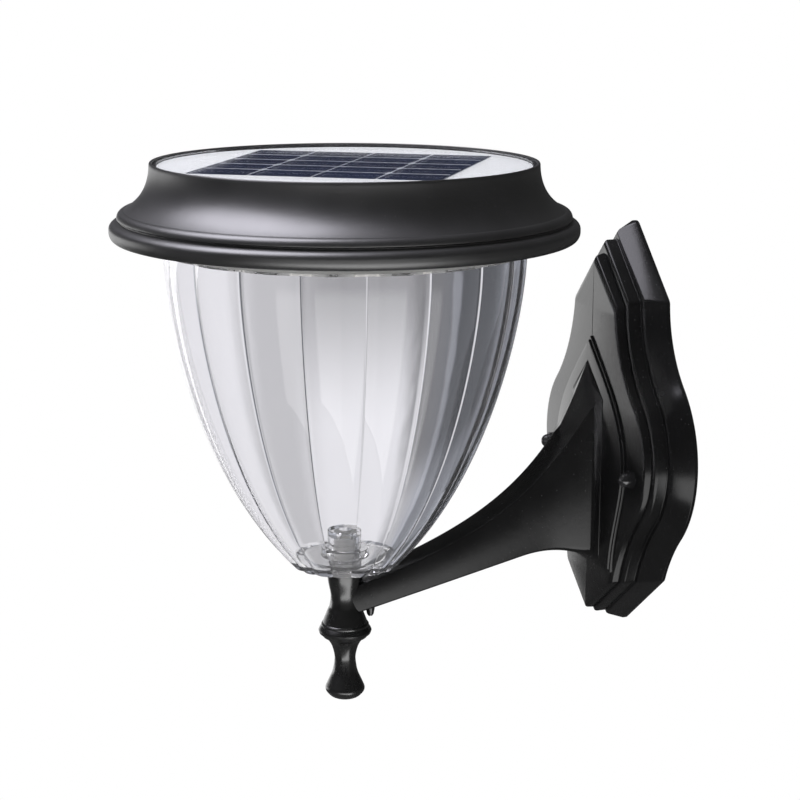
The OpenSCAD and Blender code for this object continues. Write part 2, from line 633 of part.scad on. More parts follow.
module cap_shell() color([0.07, 0.07, 0.075]) at_lamp() difference() {
    union() {
        rotate_extrude($fn = fine * 2) polygon(concat(
            cap_outer(),
            [[recess_r, cover_top + rim_lip], [recess_r, panel_seat], [shelf_r, panel_seat],
             [shelf_r, panel_seat - shelf_t]],
            reversed(bezier_points(inner_cove, 10)),
            [[cap_r - 3.2, cap_bottom + band_h + 0.6], [cap_r - 3.2, cap_bottom]]));
        intersection() {
            for (a = housing_screw_a) rotate(a) translate([screw_ring_r, 0, deck_top])
                cylinder(r = boss_r, h = 20, $fn = small);
            translate([0, 0, -over]) rotate_extrude($fn = fine * 2) polygon(concat(
                [[shelf_r, cap_bottom]], cap_outer(), [[shelf_r, cover_top + rim_lip]]));
        }
    }
    for (a = housing_screw_a) rotate(a) translate([screw_ring_r, 0, deck_top - over])
        cylinder(d = housing_screw_d + 2 * thread_gap, h = housing_screw_l - 1 + over, $fn = small);
}
housing_screw_a = [45, 135, 225, 315];
screw_ring_r = (skirt_r + housing_r) / 2;
housing_screw_d = 2.8;
housing_screw_l = 9;
module housing_screws() color("silver") at_lamp() for (a = housing_screw_a)
    rotate(a) translate([screw_ring_r, 0, deck_z]) rotate([180, 0, 0])
        pan_screw(housing_screw_d, housing_screw_l, 2 * housing_screw_d, 2);

// The solar panel, as a stack from the cover down
module panel_cover() color([0.75, 0.82, 0.9, 0.3]) at_lamp() ring(0, cover_r, cover_bottom, cover_top);
module panel_seal() color([0.08, 0.08, 0.08]) at_lamp()
    ring(cover_r + 0.05, recess_r - 0.05, panel_seat, cover_top - 0.5);
module panel_backing() color("white") at_lamp() ring(0, cover_r - 0.2, panel_seat, back_top);

column_w = (cells_l - (columns - 1) * column_gap) / columns;
column_pitch = column_w + column_gap;
module cell_strips() color([0.05, 0.07, 0.2]) at_lamp() rotate(cells_turn)
    for (k = [0:columns - 1])
        translate([-cells_l / 2 + k * column_pitch, -cells_d / 2, back_top])
            cube([column_w, cells_d, cell_t]);
ribbon_w = 1;
module cell_ribbons() color("silver") at_lamp() rotate(cells_turn)
    for (k = [1:cross_lines])
        translate([-cells_l / 2 + 1, -cells_d / 2 + cells_d * k / (cross_lines + 1) - ribbon_w / 2, cells_top])
            cube([cells_l - 2, ribbon_w, ribbon_t]);

module junction_box() color([0.06, 0.06, 0.06]) at_lamp()
    translate([lead_x - 9, -8, panel_seat - 6]) difference() {
        cube([18, 16, 6]);
        for (y = [5, 11]) translate([9, y, -over]) cylinder(d = lead_d + 0.4, h = 3 + over, $fn = small);
    }

// The light unit below the deck
module led_board() color("white") at_lamp() difference() {
    ring(0, board_r, deck_z - board_t, deck_z, fine);
    for (a = board_screw_a) rotate(a) translate([board_screw_r, 0, deck_z - board_t - over])
        cylinder(d = 3.2, h = board_t + 2 * over, $fn = small);
}
board_screw_a = [30, 150, 270];
board_screw_r = 16;
module led_board_screws() color("silver") at_lamp() for (a = board_screw_a)
    rotate(a) translate([board_screw_r, 0, deck_z - board_t]) rotate([180, 0, 0]) pan_screw(2.5, 3.4, 5, 1.8);
chip = [5.6, 3, 0.8];
module led_chips() color([1, 0.9, 0.5]) at_lamp() for (k = [0:leds - 1])
    rotate(k * 360 / leds) translate([led_ring_r - chip[0] / 2, -chip[1] / 2, deck_z - board_t - chip[2]])
        cube(chip);
diffuser_wall = 1.8;
module diffuser() color([0.97, 0.97, 0.95, 0.8]) at_lamp() rotate_extrude($fn = fine) {
    r = board_r + slip;
    low = deck_z - diffuser_h;
    polygon(concat([[r, deck_z], [r, low + 6]],
                   arc(r - 6, low + 6, 6 - 0.2, 0, -90, 6),
                   [[0, low + 0.2], [0, low - diffuser_wall]],
                   arc(r - 6, low + 6, 6 + diffuser_wall, -90, 0, 6),
                   [[r + diffuser_wall, deck_z - 1.5], [r + 5, deck_z - 1.5], [r + 5, deck_z]]));
}

// The power unit on top of the deck
holder_wall = 1.6;
end_play = 2.5;
holder_l = battery_l + 2 * (end_play + 2);
contact_t = 0.6;
holder_w = 2 * battery_d + 3 * holder_wall + 1.2;
holder_floor = 1.5;
holder_h = 13;
cell_pitch = battery_d + holder_wall + 0.4;
battery_z = deck_top + holder_floor + slip + battery_d / 2;
module battery_holder() color([0.1, 0.1, 0.1]) at_lamp() difference() {
    translate([-holder_l / 2, -holder_w / 2, deck_top]) cube([holder_l, holder_w, holder_h]);
    for (side = [-1, 1])
        translate([-battery_l / 2 - end_play, side * cell_pitch / 2 - battery_d / 2 - 0.2, deck_top + holder_floor])
            cube([battery_l + 2 * end_play, battery_d + 0.4, 20]);
}
module battery_cells() color([0.1, 0.25, 0.5]) at_lamp() for (side = [-1, 1])
    translate([-battery_l / 2, side * cell_pitch / 2, battery_z]) rotate([0, 90, 0]) union() {
        cylinder(d = battery_d, h = battery_l - 1, $fn = fine / 2);
        cylinder(d = 6, h = battery_l, $fn = small);
    }
module battery_contacts() color("silver") at_lamp() for (side = [-1, 1], end = [-1, 1])
    translate([end * (battery_l / 2 + end_play), side * cell_pitch / 2, 0]) rotate(end > 0 ? 180 : 0) {
        translate([0, -5, deck_top + holder_floor]) cube([contact_t, 10, 12]);
        translate([contact_t / 2, 0, battery_z]) rotate([0, 90, 0])
            cylinder(d = 5, h = end_play - contact_t / 2 - 0.1, $fn = small);
    }

post_x = 24;
post_y = 55;
post_dy = 12;
post_h = 5;
module control_board() color([0.05, 0.3, 0.12]) at_lamp() {
    z = deck_top + post_h;
    difference() {
        translate([-post_x - 4, post_y - post_dy - 4, z]) cube([2 * post_x + 8, 2 * post_dy + 8, board_t]);
        for (x = [-1, 1], y = [-1, 1]) translate([x * post_x, post_y + y * post_dy, z - over])
            cylinder(d = 2.4, h = board_t + 2 * over, $fn = small);
    }
    translate([-6, post_y - 6, z + board_t - 0.1]) cube([10, 10, 1.9]);
    translate([8, post_y - 8, z + board_t - 0.1]) cylinder(r = 4, h = 6, $fn = small);
    translate([-18, post_y + 2, z + board_t - 0.1]) cube([8, 7, 5]);
}
module control_board_screws() color("silver") at_lamp() for (x = [-1, 1], y = [-1, 1])
    translate([x * post_x, post_y + y * post_dy, deck_top + post_h + board_t]) pan_screw(2, 6, 4, 1.5);

// The push switch: its body sits on the deck, holds the button's flange and lets it hang through
button_y = -70;
button_low = deck_z - 4;
flange_r = button_d / 2 + 1.2;
flange_t = 1.5;
run_gap = 0.06;
module switch_body() color([0.08, 0.08, 0.08]) at_lamp() difference() {
    translate([-8, button_y - 8, deck_top]) cube([16, 16, 10]);
    translate([0, button_y, deck_top - over])
        cylinder(r = flange_r + run_gap, h = flange_t + button_travel + 0.6 + over, $fn = small);
}
module switch_button() color([0.85, 0.2, 0.15]) at_lamp() translate([0, button_y, 0])
    rotate_extrude($fn = small) polygon(concat(
        [[0, deck_top + flange_t], [0, button_low]],
        arc(button_d / 2 - 1.2, button_low + 1.2, 1.2, -90, 0, 4),
        [[button_d / 2, deck_top + 0.1], [flange_r, deck_top + 0.1], [flange_r, deck_top + flange_t]]));

// Short leads held between their ends
lead_d = 2;
lead_x = 62;
led_lead_y = 28;
lead_straight = 3.5;   // a lead leaves its hole straight before it bends
lead_end_gap = 0.03;   // solder under a lead's end
module lead(path) {
    n = 8;
    loft([for (i = [0:len(path) - 1])
        let (a = path[max(i - 1, 0)], b = path[min(i + 1, len(path) - 1)],
             d = (b - a) / norm(b - a),
             side = cross(d, [1, 0, 0]) / norm(cross(d, [1, 0, 0])), up = cross(side, d))
        [for (k = [0:n - 1]) path[i] + lead_d / 2 * (cos(360 * k / n) * side + sin(360 * k / n) * up)]]);
}
module panel_leads() color([0.7, 0.1, 0.1]) at_lamp() for (y = [-3, 3]) {
    top = panel_seat - 3.1;
    end = deck_top + post_h + board_t + lead_end_gap;
    lead(concat([[lead_x, y, top]],
                bezier_points([[lead_x, y, top - lead_straight], [lead_x, y, top - 4 * lead_straight],
                               [20, post_y - 4 + y, end + 12], [20, post_y - 4 + y, end + 2]], 12),
                [[20, post_y - 4 + y, end]]));
}
module led_leads() color([0.9, 0.9, 0.9]) at_lamp() for (x = [-1.3, 1.3]) {
    end = deck_top + post_h + board_t + lead_end_gap;
    lead(concat([[x, led_lead_y, deck_z + lead_end_gap]],
                bezier_points([[x, led_lead_y, deck_top + lead_straight], [x, led_lead_y, end + 16],
                               [x, led_lead_y + 17, end + 16], [x, led_lead_y + 17, end + 2]], 12),
                [[x, led_lead_y + 17, end]]));
}

crossbar();
bracket_studs();
domed_nuts();
wall_plate();
arm_screws();
arm();
arm_lock_screw();
stem_rod();
finial();
shade_washer();
shade();
shade_insert();
shade_ring();
cap_shell();
panel_cover();
panel_seal();
cell_strips();
cell_ribbons();
panel_backing();
junction_box();
light_housing();
head_seal();
housing_screws();
led_board();
led_chips();
led_board_screws();
diffuser();
battery_holder();
battery_cells();
battery_contacts();
control_board();
control_board_screws();
switch_body();
panel_leads();
led_leads();
switch_button();
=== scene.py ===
# %% [markdown]
# # A solar wall light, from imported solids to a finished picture
#
# The light hangs on a wall: a stepped black plate, a curved arm, a clear fluted shade and a round
# black cap with a solar panel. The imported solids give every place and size. This lesson adds finer
# meshes where the solids show flat facets, and gives every piece a finish made of nodes.

# %% Load the frame
import json
import math

import bmesh
import bpy
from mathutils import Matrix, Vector


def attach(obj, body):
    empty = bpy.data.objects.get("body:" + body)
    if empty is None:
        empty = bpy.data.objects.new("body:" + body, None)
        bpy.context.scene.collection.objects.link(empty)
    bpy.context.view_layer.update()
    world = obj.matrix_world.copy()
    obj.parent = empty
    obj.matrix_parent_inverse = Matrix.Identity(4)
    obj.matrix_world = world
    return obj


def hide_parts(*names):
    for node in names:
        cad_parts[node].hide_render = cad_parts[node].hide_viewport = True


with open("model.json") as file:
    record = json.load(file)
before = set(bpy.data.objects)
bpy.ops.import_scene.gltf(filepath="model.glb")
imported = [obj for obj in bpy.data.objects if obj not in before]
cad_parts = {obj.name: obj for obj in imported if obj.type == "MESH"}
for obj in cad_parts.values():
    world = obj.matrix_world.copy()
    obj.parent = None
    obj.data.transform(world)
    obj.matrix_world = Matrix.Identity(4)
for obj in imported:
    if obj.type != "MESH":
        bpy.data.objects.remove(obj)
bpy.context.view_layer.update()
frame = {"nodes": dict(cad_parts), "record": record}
solids = frame["nodes"]
MM = 0.001

# %% [markdown]
# ## The camera
#
# The photograph looks down on the light by a little more than twelve degrees, from the side where
# the arm is seen whole. The ellipses of the cap and of the shade's foot fix the distance and the
# focal length, and a small lens shift puts the axis of the view where it is in the photograph.

# %% Set up the camera
view_from = Vector((1.00813, -0.54193, 0.28406))
view_along = Vector((-0.91611, 0.33814, -0.21543))
camera_data = bpy.data.cameras.new("camera")
camera = bpy.data.objects.new("camera", camera_data)
bpy.context.scene.collection.objects.link(camera)
camera.location = view_from
camera.rotation_euler = view_along.to_track_quat("-Z", "Y").to_euler()
camera_data.lens = 91.125
camera_data.sensor_width = 36
camera_data.shift_x = 0.0578
camera_data.shift_y = -0.0028
camera_data.clip_start = 0.05
camera_data.clip_end = 60
bpy.context.scene.camera = camera
bpy.context.scene.view_settings.view_transform = "Standard"
print("camera is", round((view_from - Vector((0, -0.175, 0.03))).length, 3), "m from the lamp")

# %% [markdown]
# ## Writing shaders as sums
#
# A finish is a sum of small effects: a base tone, a little mottling, a grain. Such sums are easier
# to read as expressions than as lists of links. One small class wraps a socket, so that plus, minus
# and times add the Math nodes. Colours go through Mix nodes, and every other node through one
# method that sets its settings first and its sockets after.

# %% Sockets that can be added and multiplied
class Value:
    """A number that varies over a surface: the output socket of a node."""

    def __init__(self, paint, socket):
        self.paint = paint
        self.socket = socket

    def combine(self, operation, *others):
        return self.paint.node("ShaderNodeMath", {"operation": operation}, dict(enumerate(others)))

    def __add__(self, other):
        return self.combine("ADD", self, other)

    def __sub__(self, other):
        return self.combine("SUBTRACT", self, other)

    def __rsub__(self, other):
        return self.combine("SUBTRACT", other, self)

    def __mul__(self, other):
        return self.combine("MULTIPLY", self, other)

    def __truediv__(self, other):
        return self.combine("DIVIDE", self, other)

    def __rtruediv__(self, other):
        return self.combine("DIVIDE", other, self)

    def __pow__(self, other):
        return self.combine("POWER", self, other)

    def __lt__(self, other):
        return self.combine("LESS_THAN", self, other)

    def __gt__(self, other):
        return self.combine("GREATER_THAN", self, other)

    __radd__ = __add__
    __rmul__ = __mul__

    def pulse(self, spacing):
        """0 at every multiple of the spacing, rising to half the spacing between two of them."""
        return self.combine("PINGPONG", self, spacing / 2)

    def eased(self, low, high):
        """0 below low, 1 above high, and a soft step between them."""
        return self.paint.node("ShaderNodeMapRange", {"interpolation_type": "SMOOTHSTEP"},
                               {"Value": self, "From Min": low, "From Max": high})


# %% [markdown]
# A material or a world is a tree of nodes. This class holds one tree while it is written, and makes
# any node by one method. Its textures are functions of place in the part's own metres. An image
# would have to be painted and unwrapped first, and a function of place is sharp at any distance.

# %% A node tree with one method for every node
class Paint:
    """A node tree that is being written: a material's, or the world's."""

    def __init__(self, tree):
        self.tree = tree
        self.tree.nodes.clear()

    def feed(self, socket, value):
        if isinstance(value, Value):
            self.tree.links.new(value.socket, socket)
        else:
            socket.default_value = value

    def node(self, kind, settings, sockets, out=0):
        made = self.tree.nodes.new(kind)
        for name, setting in settings.items():
            setattr(made, name, setting)
        for name, value in sockets.items():
            self.feed(made.inputs[name], value)
        return Value(self, made.outputs[out]) if len(made.outputs) else made

    def mix(self, share, first, second):
        """One colour passing into another."""
        made = self.tree.nodes.new("ShaderNodeMix")
        made.data_type = "RGBA"
        for index, value in ((0, share), (6, first), (7, second)):
            self.feed(made.inputs[index], value if isinstance(value, (Value, float)) else (*value, 1))
        return Value(self, made.outputs[2])

    def place(self):
        """Where a point lies in the part's own metres."""
        return self.node("ShaderNodeTexCoord", {}, {}, out="Object")

    def along(self, axis):
        """How far a point is along X, Y or Z of the part, in metres."""
        return self.node("ShaderNodeSeparateXYZ", {}, {0: self.place()}, out=axis)

    def noise(self, scale, detail=2.0, stretch=(1, 1, 1)):
        where = self.node("ShaderNodeMapping", {}, {"Vector": self.place(), "Scale": stretch})
        return self.node("ShaderNodeTexNoise", {}, {"Vector": where, "Scale": scale, "Detail": detail})

    def bump(self, height, strength, distance):
        return self.node("ShaderNodeBump", {}, {"Height": height, "Strength": strength, "Distance": distance})

    def surface(self, kind="ShaderNodeBsdfPrincipled", **sockets):
        names = {name.replace("_", " "): value for name, value in sockets.items()}
        return self.node(kind, {}, names)

    def output(self, surface, kind="ShaderNodeOutputMaterial"):
        self.node(kind, {}, {"Surface": surface})


def new_finish(name):
    material = bpy.data.materials.new(name)
    material.use_nodes = True
    return material, Paint(material.node_tree)


def grey(tone):
    """A grey level as a colour."""
    return (tone, tone, tone)


print("shader helpers ready")

# %% [markdown]
# ## The studio
#
# The background of the photograph is plain white, and there is no wall in it. Yet the black metal
# stays black and the clear shade looks grey, so the real studio was dark in front and to the right,
# and a grey backdrop with a bright middle stood behind the shade. A picture of a real studio could
# wrap the light, but a few formulas of direction do the same and can be tuned one by one. First
# come the directions, as the camera sees them.

# %% Directions of the studio, as seen from the camera
camera_right = view_along.cross(Vector((0, 0, 1))).normalized()
camera_back = -Vector((view_along.x, view_along.y, 0)).normalized()
back_left = (-camera_back * 0.8 - camera_right * 0.6).normalized()
print("the camera's right is", [round(c, 3) for c in camera_right])


def toward(paint, direction, axis):
    """How much a direction points along an axis, from -1 to 1."""
    return paint.node("ShaderNodeVectorMath", {"operation": "DOT_PRODUCT"}, {0: direction, 1: tuple(axis)},
                      out="Value")


# %% [markdown]
# The world's Light Path node tells what kind of ray asks for a colour. The camera gets plain white.
# Mirrored rays, rays through clear plastic and the rays that light plain surfaces each get their
# own formula in the next cells.

# %% The world and its rays
world = bpy.data.worlds.new("studio")
bpy.context.scene.world = world
world.use_nodes = True
sky = Paint(world.node_tree)
seen = sky.node("ShaderNodeLightPath", {}, {}, out="Is Camera Ray")
through = sky.node("ShaderNodeLightPath", {}, {}, out="Is Transmission Ray")
mirrored = sky.node("ShaderNodeLightPath", {}, {}, out="Is Glossy Ray")
heading = sky.node("ShaderNodeTexCoord", {}, {}, out="Generated")
right = toward(sky, heading, camera_right)
up = toward(sky, heading, (0, 0, 1))
print("nodes of rays and directions:", len(sky.tree.nodes))

# %% [markdown]
# Gloss black is a dark mirror, so it looks like what it mirrors: a pale table low in front, which
# draws the streaks down the stem, a pale wall low on the left behind, which lights the plate's
# raised face, and darkness elsewhere. The wall ends at a slanting foot and is brighter at its far
# left. Lamps and white boards could stand there, but they would also light the plain surfaces.

# %% What black metal mirrors
TABLE_GLOW, WALL_GLOW, DARKNESS = 2.0, 1.6, 0.03
low = 1 - up.eased(-0.1, 0.04)
table_way = (camera_back + 0.09 * camera_right).normalized()
front = toward(sky, heading, table_way) / (1 - up * up) ** 0.5
table = front.eased(0.735, 0.8) * (1 - up.eased(-0.35, -0.24))
wall_foot = (up + 0.5 * right).eased(-0.6, -0.58)
wall_glow = WALL_GLOW + 1.0 * (1 - right.eased(-0.76, -0.7))
pale_wall = toward(sky, heading, back_left).eased(0.8, 0.93) * low * (DARKNESS + (1 - DARKNESS) * wall_foot)
dark_studio = DARKNESS + 0.05 * low + wall_glow * pale_wall + TABLE_GLOW * table
print("mirrored: table", TABLE_GLOW, "wall", WALL_GLOW, "elsewhere", DARKNESS)

# %% [markdown]
# Clear plastic shows the backdrop: pale on the left, brighter towards the bottom in the middle, and
# dark on the right, with one lighter streak. Far to the right, where the photograph doesn't look,
# it becomes a plain grey, so that the shade isn't black from other sides. Plain surfaces are lit by
# a soft sky that is brightest overhead.

# %% What clear plastic shows, and the sky for plain surfaces
SIDE_GREY, SKY_LOW, SKY_TOP = 0.62, 0.26, 1.26
left_tone = 0.66 + 0.35 * (1 - right.eased(-0.095, -0.065))
middle_tone = 0.4 + 0.6 * (1 - up.eased(-0.235, -0.15))
right_tone = (0.22 + 0.35 * (1 - up.eased(-0.28, -0.24))) * (1 - 0.55 * right.eased(0.066, 0.09))
right_tone = right_tone + 0.2 * right.eased(0.071, 0.077) * (1 - right.eased(0.081, 0.087))
right_tone = right_tone + (SIDE_GREY - right_tone) * right.eased(0.12, 0.3)
backdrop = left_tone + (middle_tone - left_tone) * right.eased(-0.045, -0.015)
backdrop = backdrop + (right_tone - backdrop) * right.eased(0.034, 0.056)
backdrop = backdrop + (0.3 - backdrop) * up.eased(0.0, 0.2)

soft_light = SKY_LOW + (SKY_TOP - SKY_LOW) * up.eased(0.3, 0.8)
unseen = backdrop * through + (1 - through) * (dark_studio * mirrored + soft_light * (1 - mirrored))
cool = sky.mix(right.eased(0.045, 0.09), (0.965, 0.955, 1), (0.86, 0.89, 1))
sky_tint = sky.mix(through, (1, 1, 1), cool)
sky.output(sky.node("ShaderNodeBackground", {}, {"Color": sky_tint, "Strength": seen + (1 - seen) * unseen}),
           "ShaderNodeOutputWorld")
print("nodes of the whole world:", len(sky.tree.nodes))

# %% [markdown]
# A round pale floor lies well below the light, because nothing of the light stands on it. It takes
# the shadow, and towards its rim it passes into the white of the background, both straight and
# through clear plastic. The plate's lower sides are black in the photograph, so in mirrored rays
# the floor is nearly as dark as the studio. A lit plane could do the same, but its edge would show.

# %% Floor
FLOOR_Z = -0.62
FLOOR_R = 0.62
floor_mesh = bpy.data.meshes.new("floor")
floor_disc = bmesh.new()
bmesh.ops.create_circle(floor_disc, cap_ends=True, radius=FLOOR_R, segments=96)
floor_disc.to_mesh(floor_mesh)
floor_disc.free()
floor = bpy.data.objects.new("floor", floor_mesh)
floor.location = (0, -0.5, FLOOR_Z)
bpy.context.scene.collection.objects.link(floor)
floor_paint, paint = new_finish("pale_floor")
in_view = (paint.node("ShaderNodeLightPath", {}, {}, out="Is Camera Ray")
           + paint.node("ShaderNodeLightPath", {}, {}, out="Is Transmission Ray"))
out_from_middle = paint.node("ShaderNodeVectorMath", {"operation": "LENGTH"}, {0: paint.place()}, out="Value")
cloud = paint.noise(3, 3)
tint = paint.mix(cloud, grey(0.78), grey(0.82))
plain = paint.surface("ShaderNodeBsdfDiffuse", Color=tint)
bright = paint.node("ShaderNodeEmission", {}, {"Color": (1, 1, 1, 1), "Strength": 1})
dim = paint.node("ShaderNodeEmission", {}, {"Color": (1, 1, 1, 1), "Strength": 0.12})
in_mirror = paint.node("ShaderNodeLightPath", {}, {}, out="Is Glossy Ray")
ground = paint.node("ShaderNodeMixShader", {}, {0: in_mirror, 1: plain, 2: dim})
whiteness = in_view * (0.7 + 0.3 * out_from_middle.eased(0.3, FLOOR_R * 0.95))
paint.output(paint.node("ShaderNodeMixShader", {}, {0: whiteness, 1: ground, 2: bright}))
floor_mesh.materials.append(floor_paint)
print("floor at", FLOOR_Z, "m")

# %% [markdown]
# ## The lamp
#
# One large soft lamp hangs to the camera's left, almost overhead. It draws the broad lilac-white
# highlight on the left of the cap and lights the white of the panel. A small lamp would draw a hard
# spot instead, and a second one would put light on faces that are black in the photograph.

# %% Soft lamp
lamp_middle = Vector((0, -0.15, 0.05))


def soft_lamp(name, right, back, up, width, radiance, tint):
    """A round lamp placed as seen from the camera, in metres, facing the light."""
    data = bpy.data.lights.new(name, "AREA")
    data.shape = "DISK"
    data.size = width
    data.energy = math.pi * width * width * radiance
    data.color = tint
    lamp = bpy.data.objects.new(name, data)
    lamp.location = lamp_middle + camera_right * right + camera_back * back + Vector((0, 0, up))
    lamp.rotation_euler = (lamp_middle - lamp.location).to_track_quat("-Z", "Y").to_euler()
    bpy.context.scene.collection.objects.link(lamp)


soft_lamp("key", -0.68, 0.0, 1.27, 1.36, 3.8, (0.92, 0.905, 1))

# %% [markdown]
# ## Finishes
#
# Black powder coat on a casting isn't one flat black: it has a fine orange peel, a faint mottling
# of gloss and a few specks of dust. The same recipe, with other numbers, makes the cap's broad
# sheen and the streaks of the turned stem. The shader's own layer of gloss does this with one index
# of refraction, where a mix of two shaders would need a share that changes with the angle.

# %% Black powder coat
def powder_coat(name, tone, rough, peel, index):
    material, paint = new_finish(name)
    mottle = paint.noise(38, 3)
    grain = paint.noise(1300, 2)
    speck = paint.noise(950, 1).eased(0.74, 0.8)
    colour = paint.mix(mottle.eased(0.35, 0.7), tone, [c * 1.5 for c in tone])
    colour = paint.mix(speck * 0.25, colour, grey(0.25))
    gloss = rough + (mottle - 0.5) * 0.12 + speck * 0.2
    height = paint.bump(grain + paint.noise(260, 2) * 1.5, peel, 0.0002)
    paint.output(paint.surface(Base_Color=colour, Roughness=gloss, IOR=index, Normal=height))
    return material


finishes = {
    "satin_black_casting": powder_coat("satin_black_casting", (0.009, 0.009, 0.0093), 0.17, 0.06, 1.47),
    "satin_black_cap": powder_coat("satin_black_cap", (0.0028, 0.0028, 0.0034), 0.42, 0.1, 2.4),
    "gloss_black_turned": powder_coat("gloss_black_turned", (0.004, 0.004, 0.0042), 0.27, 0.04, 2.2),
}
print("finishes:", sorted(finishes))

# %% [markdown]
# ## Clear and opal plastic
#
# The shade is clear acrylic. Light goes through it, bends at every flute, and a little of it is
# scattered by the moulded surface. In the photograph only the flutes of the near side show. So a ray
# that has already crossed the near side passes the far side straight, except at the floor, whose
# steps are seen whole. The panel's cover is thinner and cleaner. The opal dish over the LEDs has a
# painted glow: it emits a little light of itself, though it is no lamp, which stands for the light
# that it spreads.

# %% Clear acrylic and opal
AXIS_Y = -175
FLOOR_STEPS_R = 30


def clear_plastic(name, haze, rough):
    material, paint = new_finish(name)
    ripple = paint.noise(55, 2, (1, 1, 0.35))
    height = paint.bump(ripple, 0.08, 0.0006)
    glass = paint.surface(Base_Color=(1, 1, 1, 1), Roughness=rough, IOR=1.49,
                          Transmission_Weight=1.0, Normal=height)
    veil = paint.surface(Base_Color=(0.82, 0.82, 0.84, 1), Roughness=0.5, Normal=height)
    hazy = paint.node("ShaderNodeMixShader", {}, {0: haze * (0.7 + 0.6 * ripple), 1: glass, 2: veil})
    crossed = paint.node("ShaderNodeLightPath", {}, {}, out="Transmission Depth") > 1.5
    from_axis = paint.along("X") ** 2 + (paint.along("Y") - AXIS_Y * MM) ** 2
    straight = paint.surface("ShaderNodeBsdfTransparent", Color=(0.95, 0.95, 0.955, 1))
    past_floor = from_axis > (FLOOR_STEPS_R * MM) ** 2
    paint.output(paint.node("ShaderNodeMixShader", {}, {0: crossed * past_floor, 1: hazy, 2: straight}))
    return material


def opal_plastic(name, colour, glow):
    material, paint = new_finish(name)
    cloud = paint.noise(90, 3)
    tint = paint.mix(cloud, colour, [c * 0.94 for c in colour])
    height = paint.bump(paint.noise(700, 2), 0.08, 0.0002)
    # The emission is a painted glow: the dish gives off light though it is no lamp.
    paint.output(paint.surface(Base_Color=tint, Roughness=0.42 + cloud * 0.1, Normal=height,
                               Emission_Color=(1, 0.97, 0.92, 1), Emission_Strength=glow))
    return material


def clear_sheet(name):
    """A thin flat sheet: light passes straight through it, and a little is mirrored."""
    material, paint = new_finish(name)
    height = paint.bump(paint.noise(30, 2), 0.05, 0.0004)
    share = paint.node("ShaderNodeFresnel", {}, {"IOR": 1.45, "Normal": height})
    open_way = paint.surface("ShaderNodeBsdfTransparent", Color=(0.98, 0.985, 0.99, 1))
    mirror = paint.surface("ShaderNodeBsdfGlossy", Color=(1, 1, 1, 1), Roughness=0.06, Normal=height)
    paint.output(paint.node("ShaderNodeMixShader", {}, {0: share * 0.3, 1: open_way, 2: mirror}))
    return material


finishes["clear_acrylic"] = clear_plastic("clear_acrylic", 0.06, 0.02)
finishes["clear_cover"] = clear_sheet("clear_cover")
finishes["milky_plastic"] = opal_plastic("milky_plastic", (0.86, 0.86, 0.84), 0.25)
print("clear finishes ready")

# %% [markdown]
# ## Plain moulded plastics, rubber and boards
#
# Inside the cap there are white and black mouldings, rubber rings and boards. They share one
# recipe: a tone with a slight cloud in it, a roughness that varies, and a moulded grain. One recipe
# with a table of tones keeps them alike, as parts from the same factory are.

# %% Moulded parts
def moulded(name, colour, rough):
    material, paint = new_finish(name)
    cloud = paint.noise(45, 3)
    tint = paint.mix(cloud * 0.24, colour, [c * 0.75 for c in colour])
    height = paint.bump(paint.noise(600, 2), 0.15, 0.0003)
    paint.output(paint.surface(Base_Color=tint, Roughness=rough + (cloud - 0.5) * 0.15, Normal=height))
    return material


for slot_name, colour, rough in (
    ("white_plastic", (0.78, 0.78, 0.76), 0.45),
    ("white_laminate", (0.93, 0.93, 0.92), 0.5),
    ("black_plastic", (0.012, 0.012, 0.012), 0.5),
    ("grey_rubber", (0.06, 0.06, 0.063), 0.75),
    ("black_rubber", (0.012, 0.012, 0.013), 0.65),
    ("white_board", (0.75, 0.75, 0.72), 0.3),
    ("led_package", (0.85, 0.68, 0.2), 0.25),
    ("battery_wrap", (0.02, 0.1, 0.36), 0.3),
    ("red_wire", (0.35, 0.02, 0.015), 0.45),
    ("white_wire", (0.7, 0.7, 0.68), 0.45),
    ("grey_button", (0.25, 0.25, 0.25), 0.35),
):
    finishes[slot_name] = moulded(slot_name, colour, rough)
print("moulded finishes ready")

# %% [markdown]
# ## Metals
#
# Plated screws and rods are bright but never clean: the plating is a little cloudy and has fine
# scratches, which noise that is stretched along Z gives. The tinned ribbons are only partly metal,
# because a real one is dull and looks pale from every side.

# %% Bare and plated metal
def plated(name, colour, rough, metal):
    material, paint = new_finish(name)
    cloud = paint.noise(180, 3)
    scratch = paint.noise(2200, 1, (1, 1, 0.08))
    tint = paint.mix(cloud.eased(0.3, 0.8), colour, [c * 0.7 for c in colour])
    paint.output(paint.surface(Base_Color=tint, Metallic=metal, Roughness=rough + scratch * 0.15,
                               Normal=paint.bump(scratch, 0.1, 0.0001)))
    return material


for slot_name, colour, rough, metal in (
    ("plated_steel", (0.55, 0.55, 0.57), 0.28, 1.0),
    ("silver_ribbon", (0.86, 0.87, 0.9), 0.4, 0.35),
    ("nickel", (0.6, 0.58, 0.54), 0.25, 1.0),
    ("brass_insert", (0.8, 0.79, 0.76), 0.4, 0.15),
):
    finishes[slot_name] = plated(slot_name, colour, rough, metal)
finishes["black_steel"] = powder_coat("black_steel", (0.02, 0.02, 0.021), 0.16, 0.05, 1.9)
print("metal finishes ready")

# %% [markdown]
# The board of the charge circuit has copper tracks under a green mask. They show as lighter lines,
# a little raised. Two sets of lines that cross are enough for a board that stays inside the cap.

# %% Green board
TRACK_PITCH_X, TRACK_PITCH_Y, TRACK_HALF = 0.0026, 0.0034, 0.0003


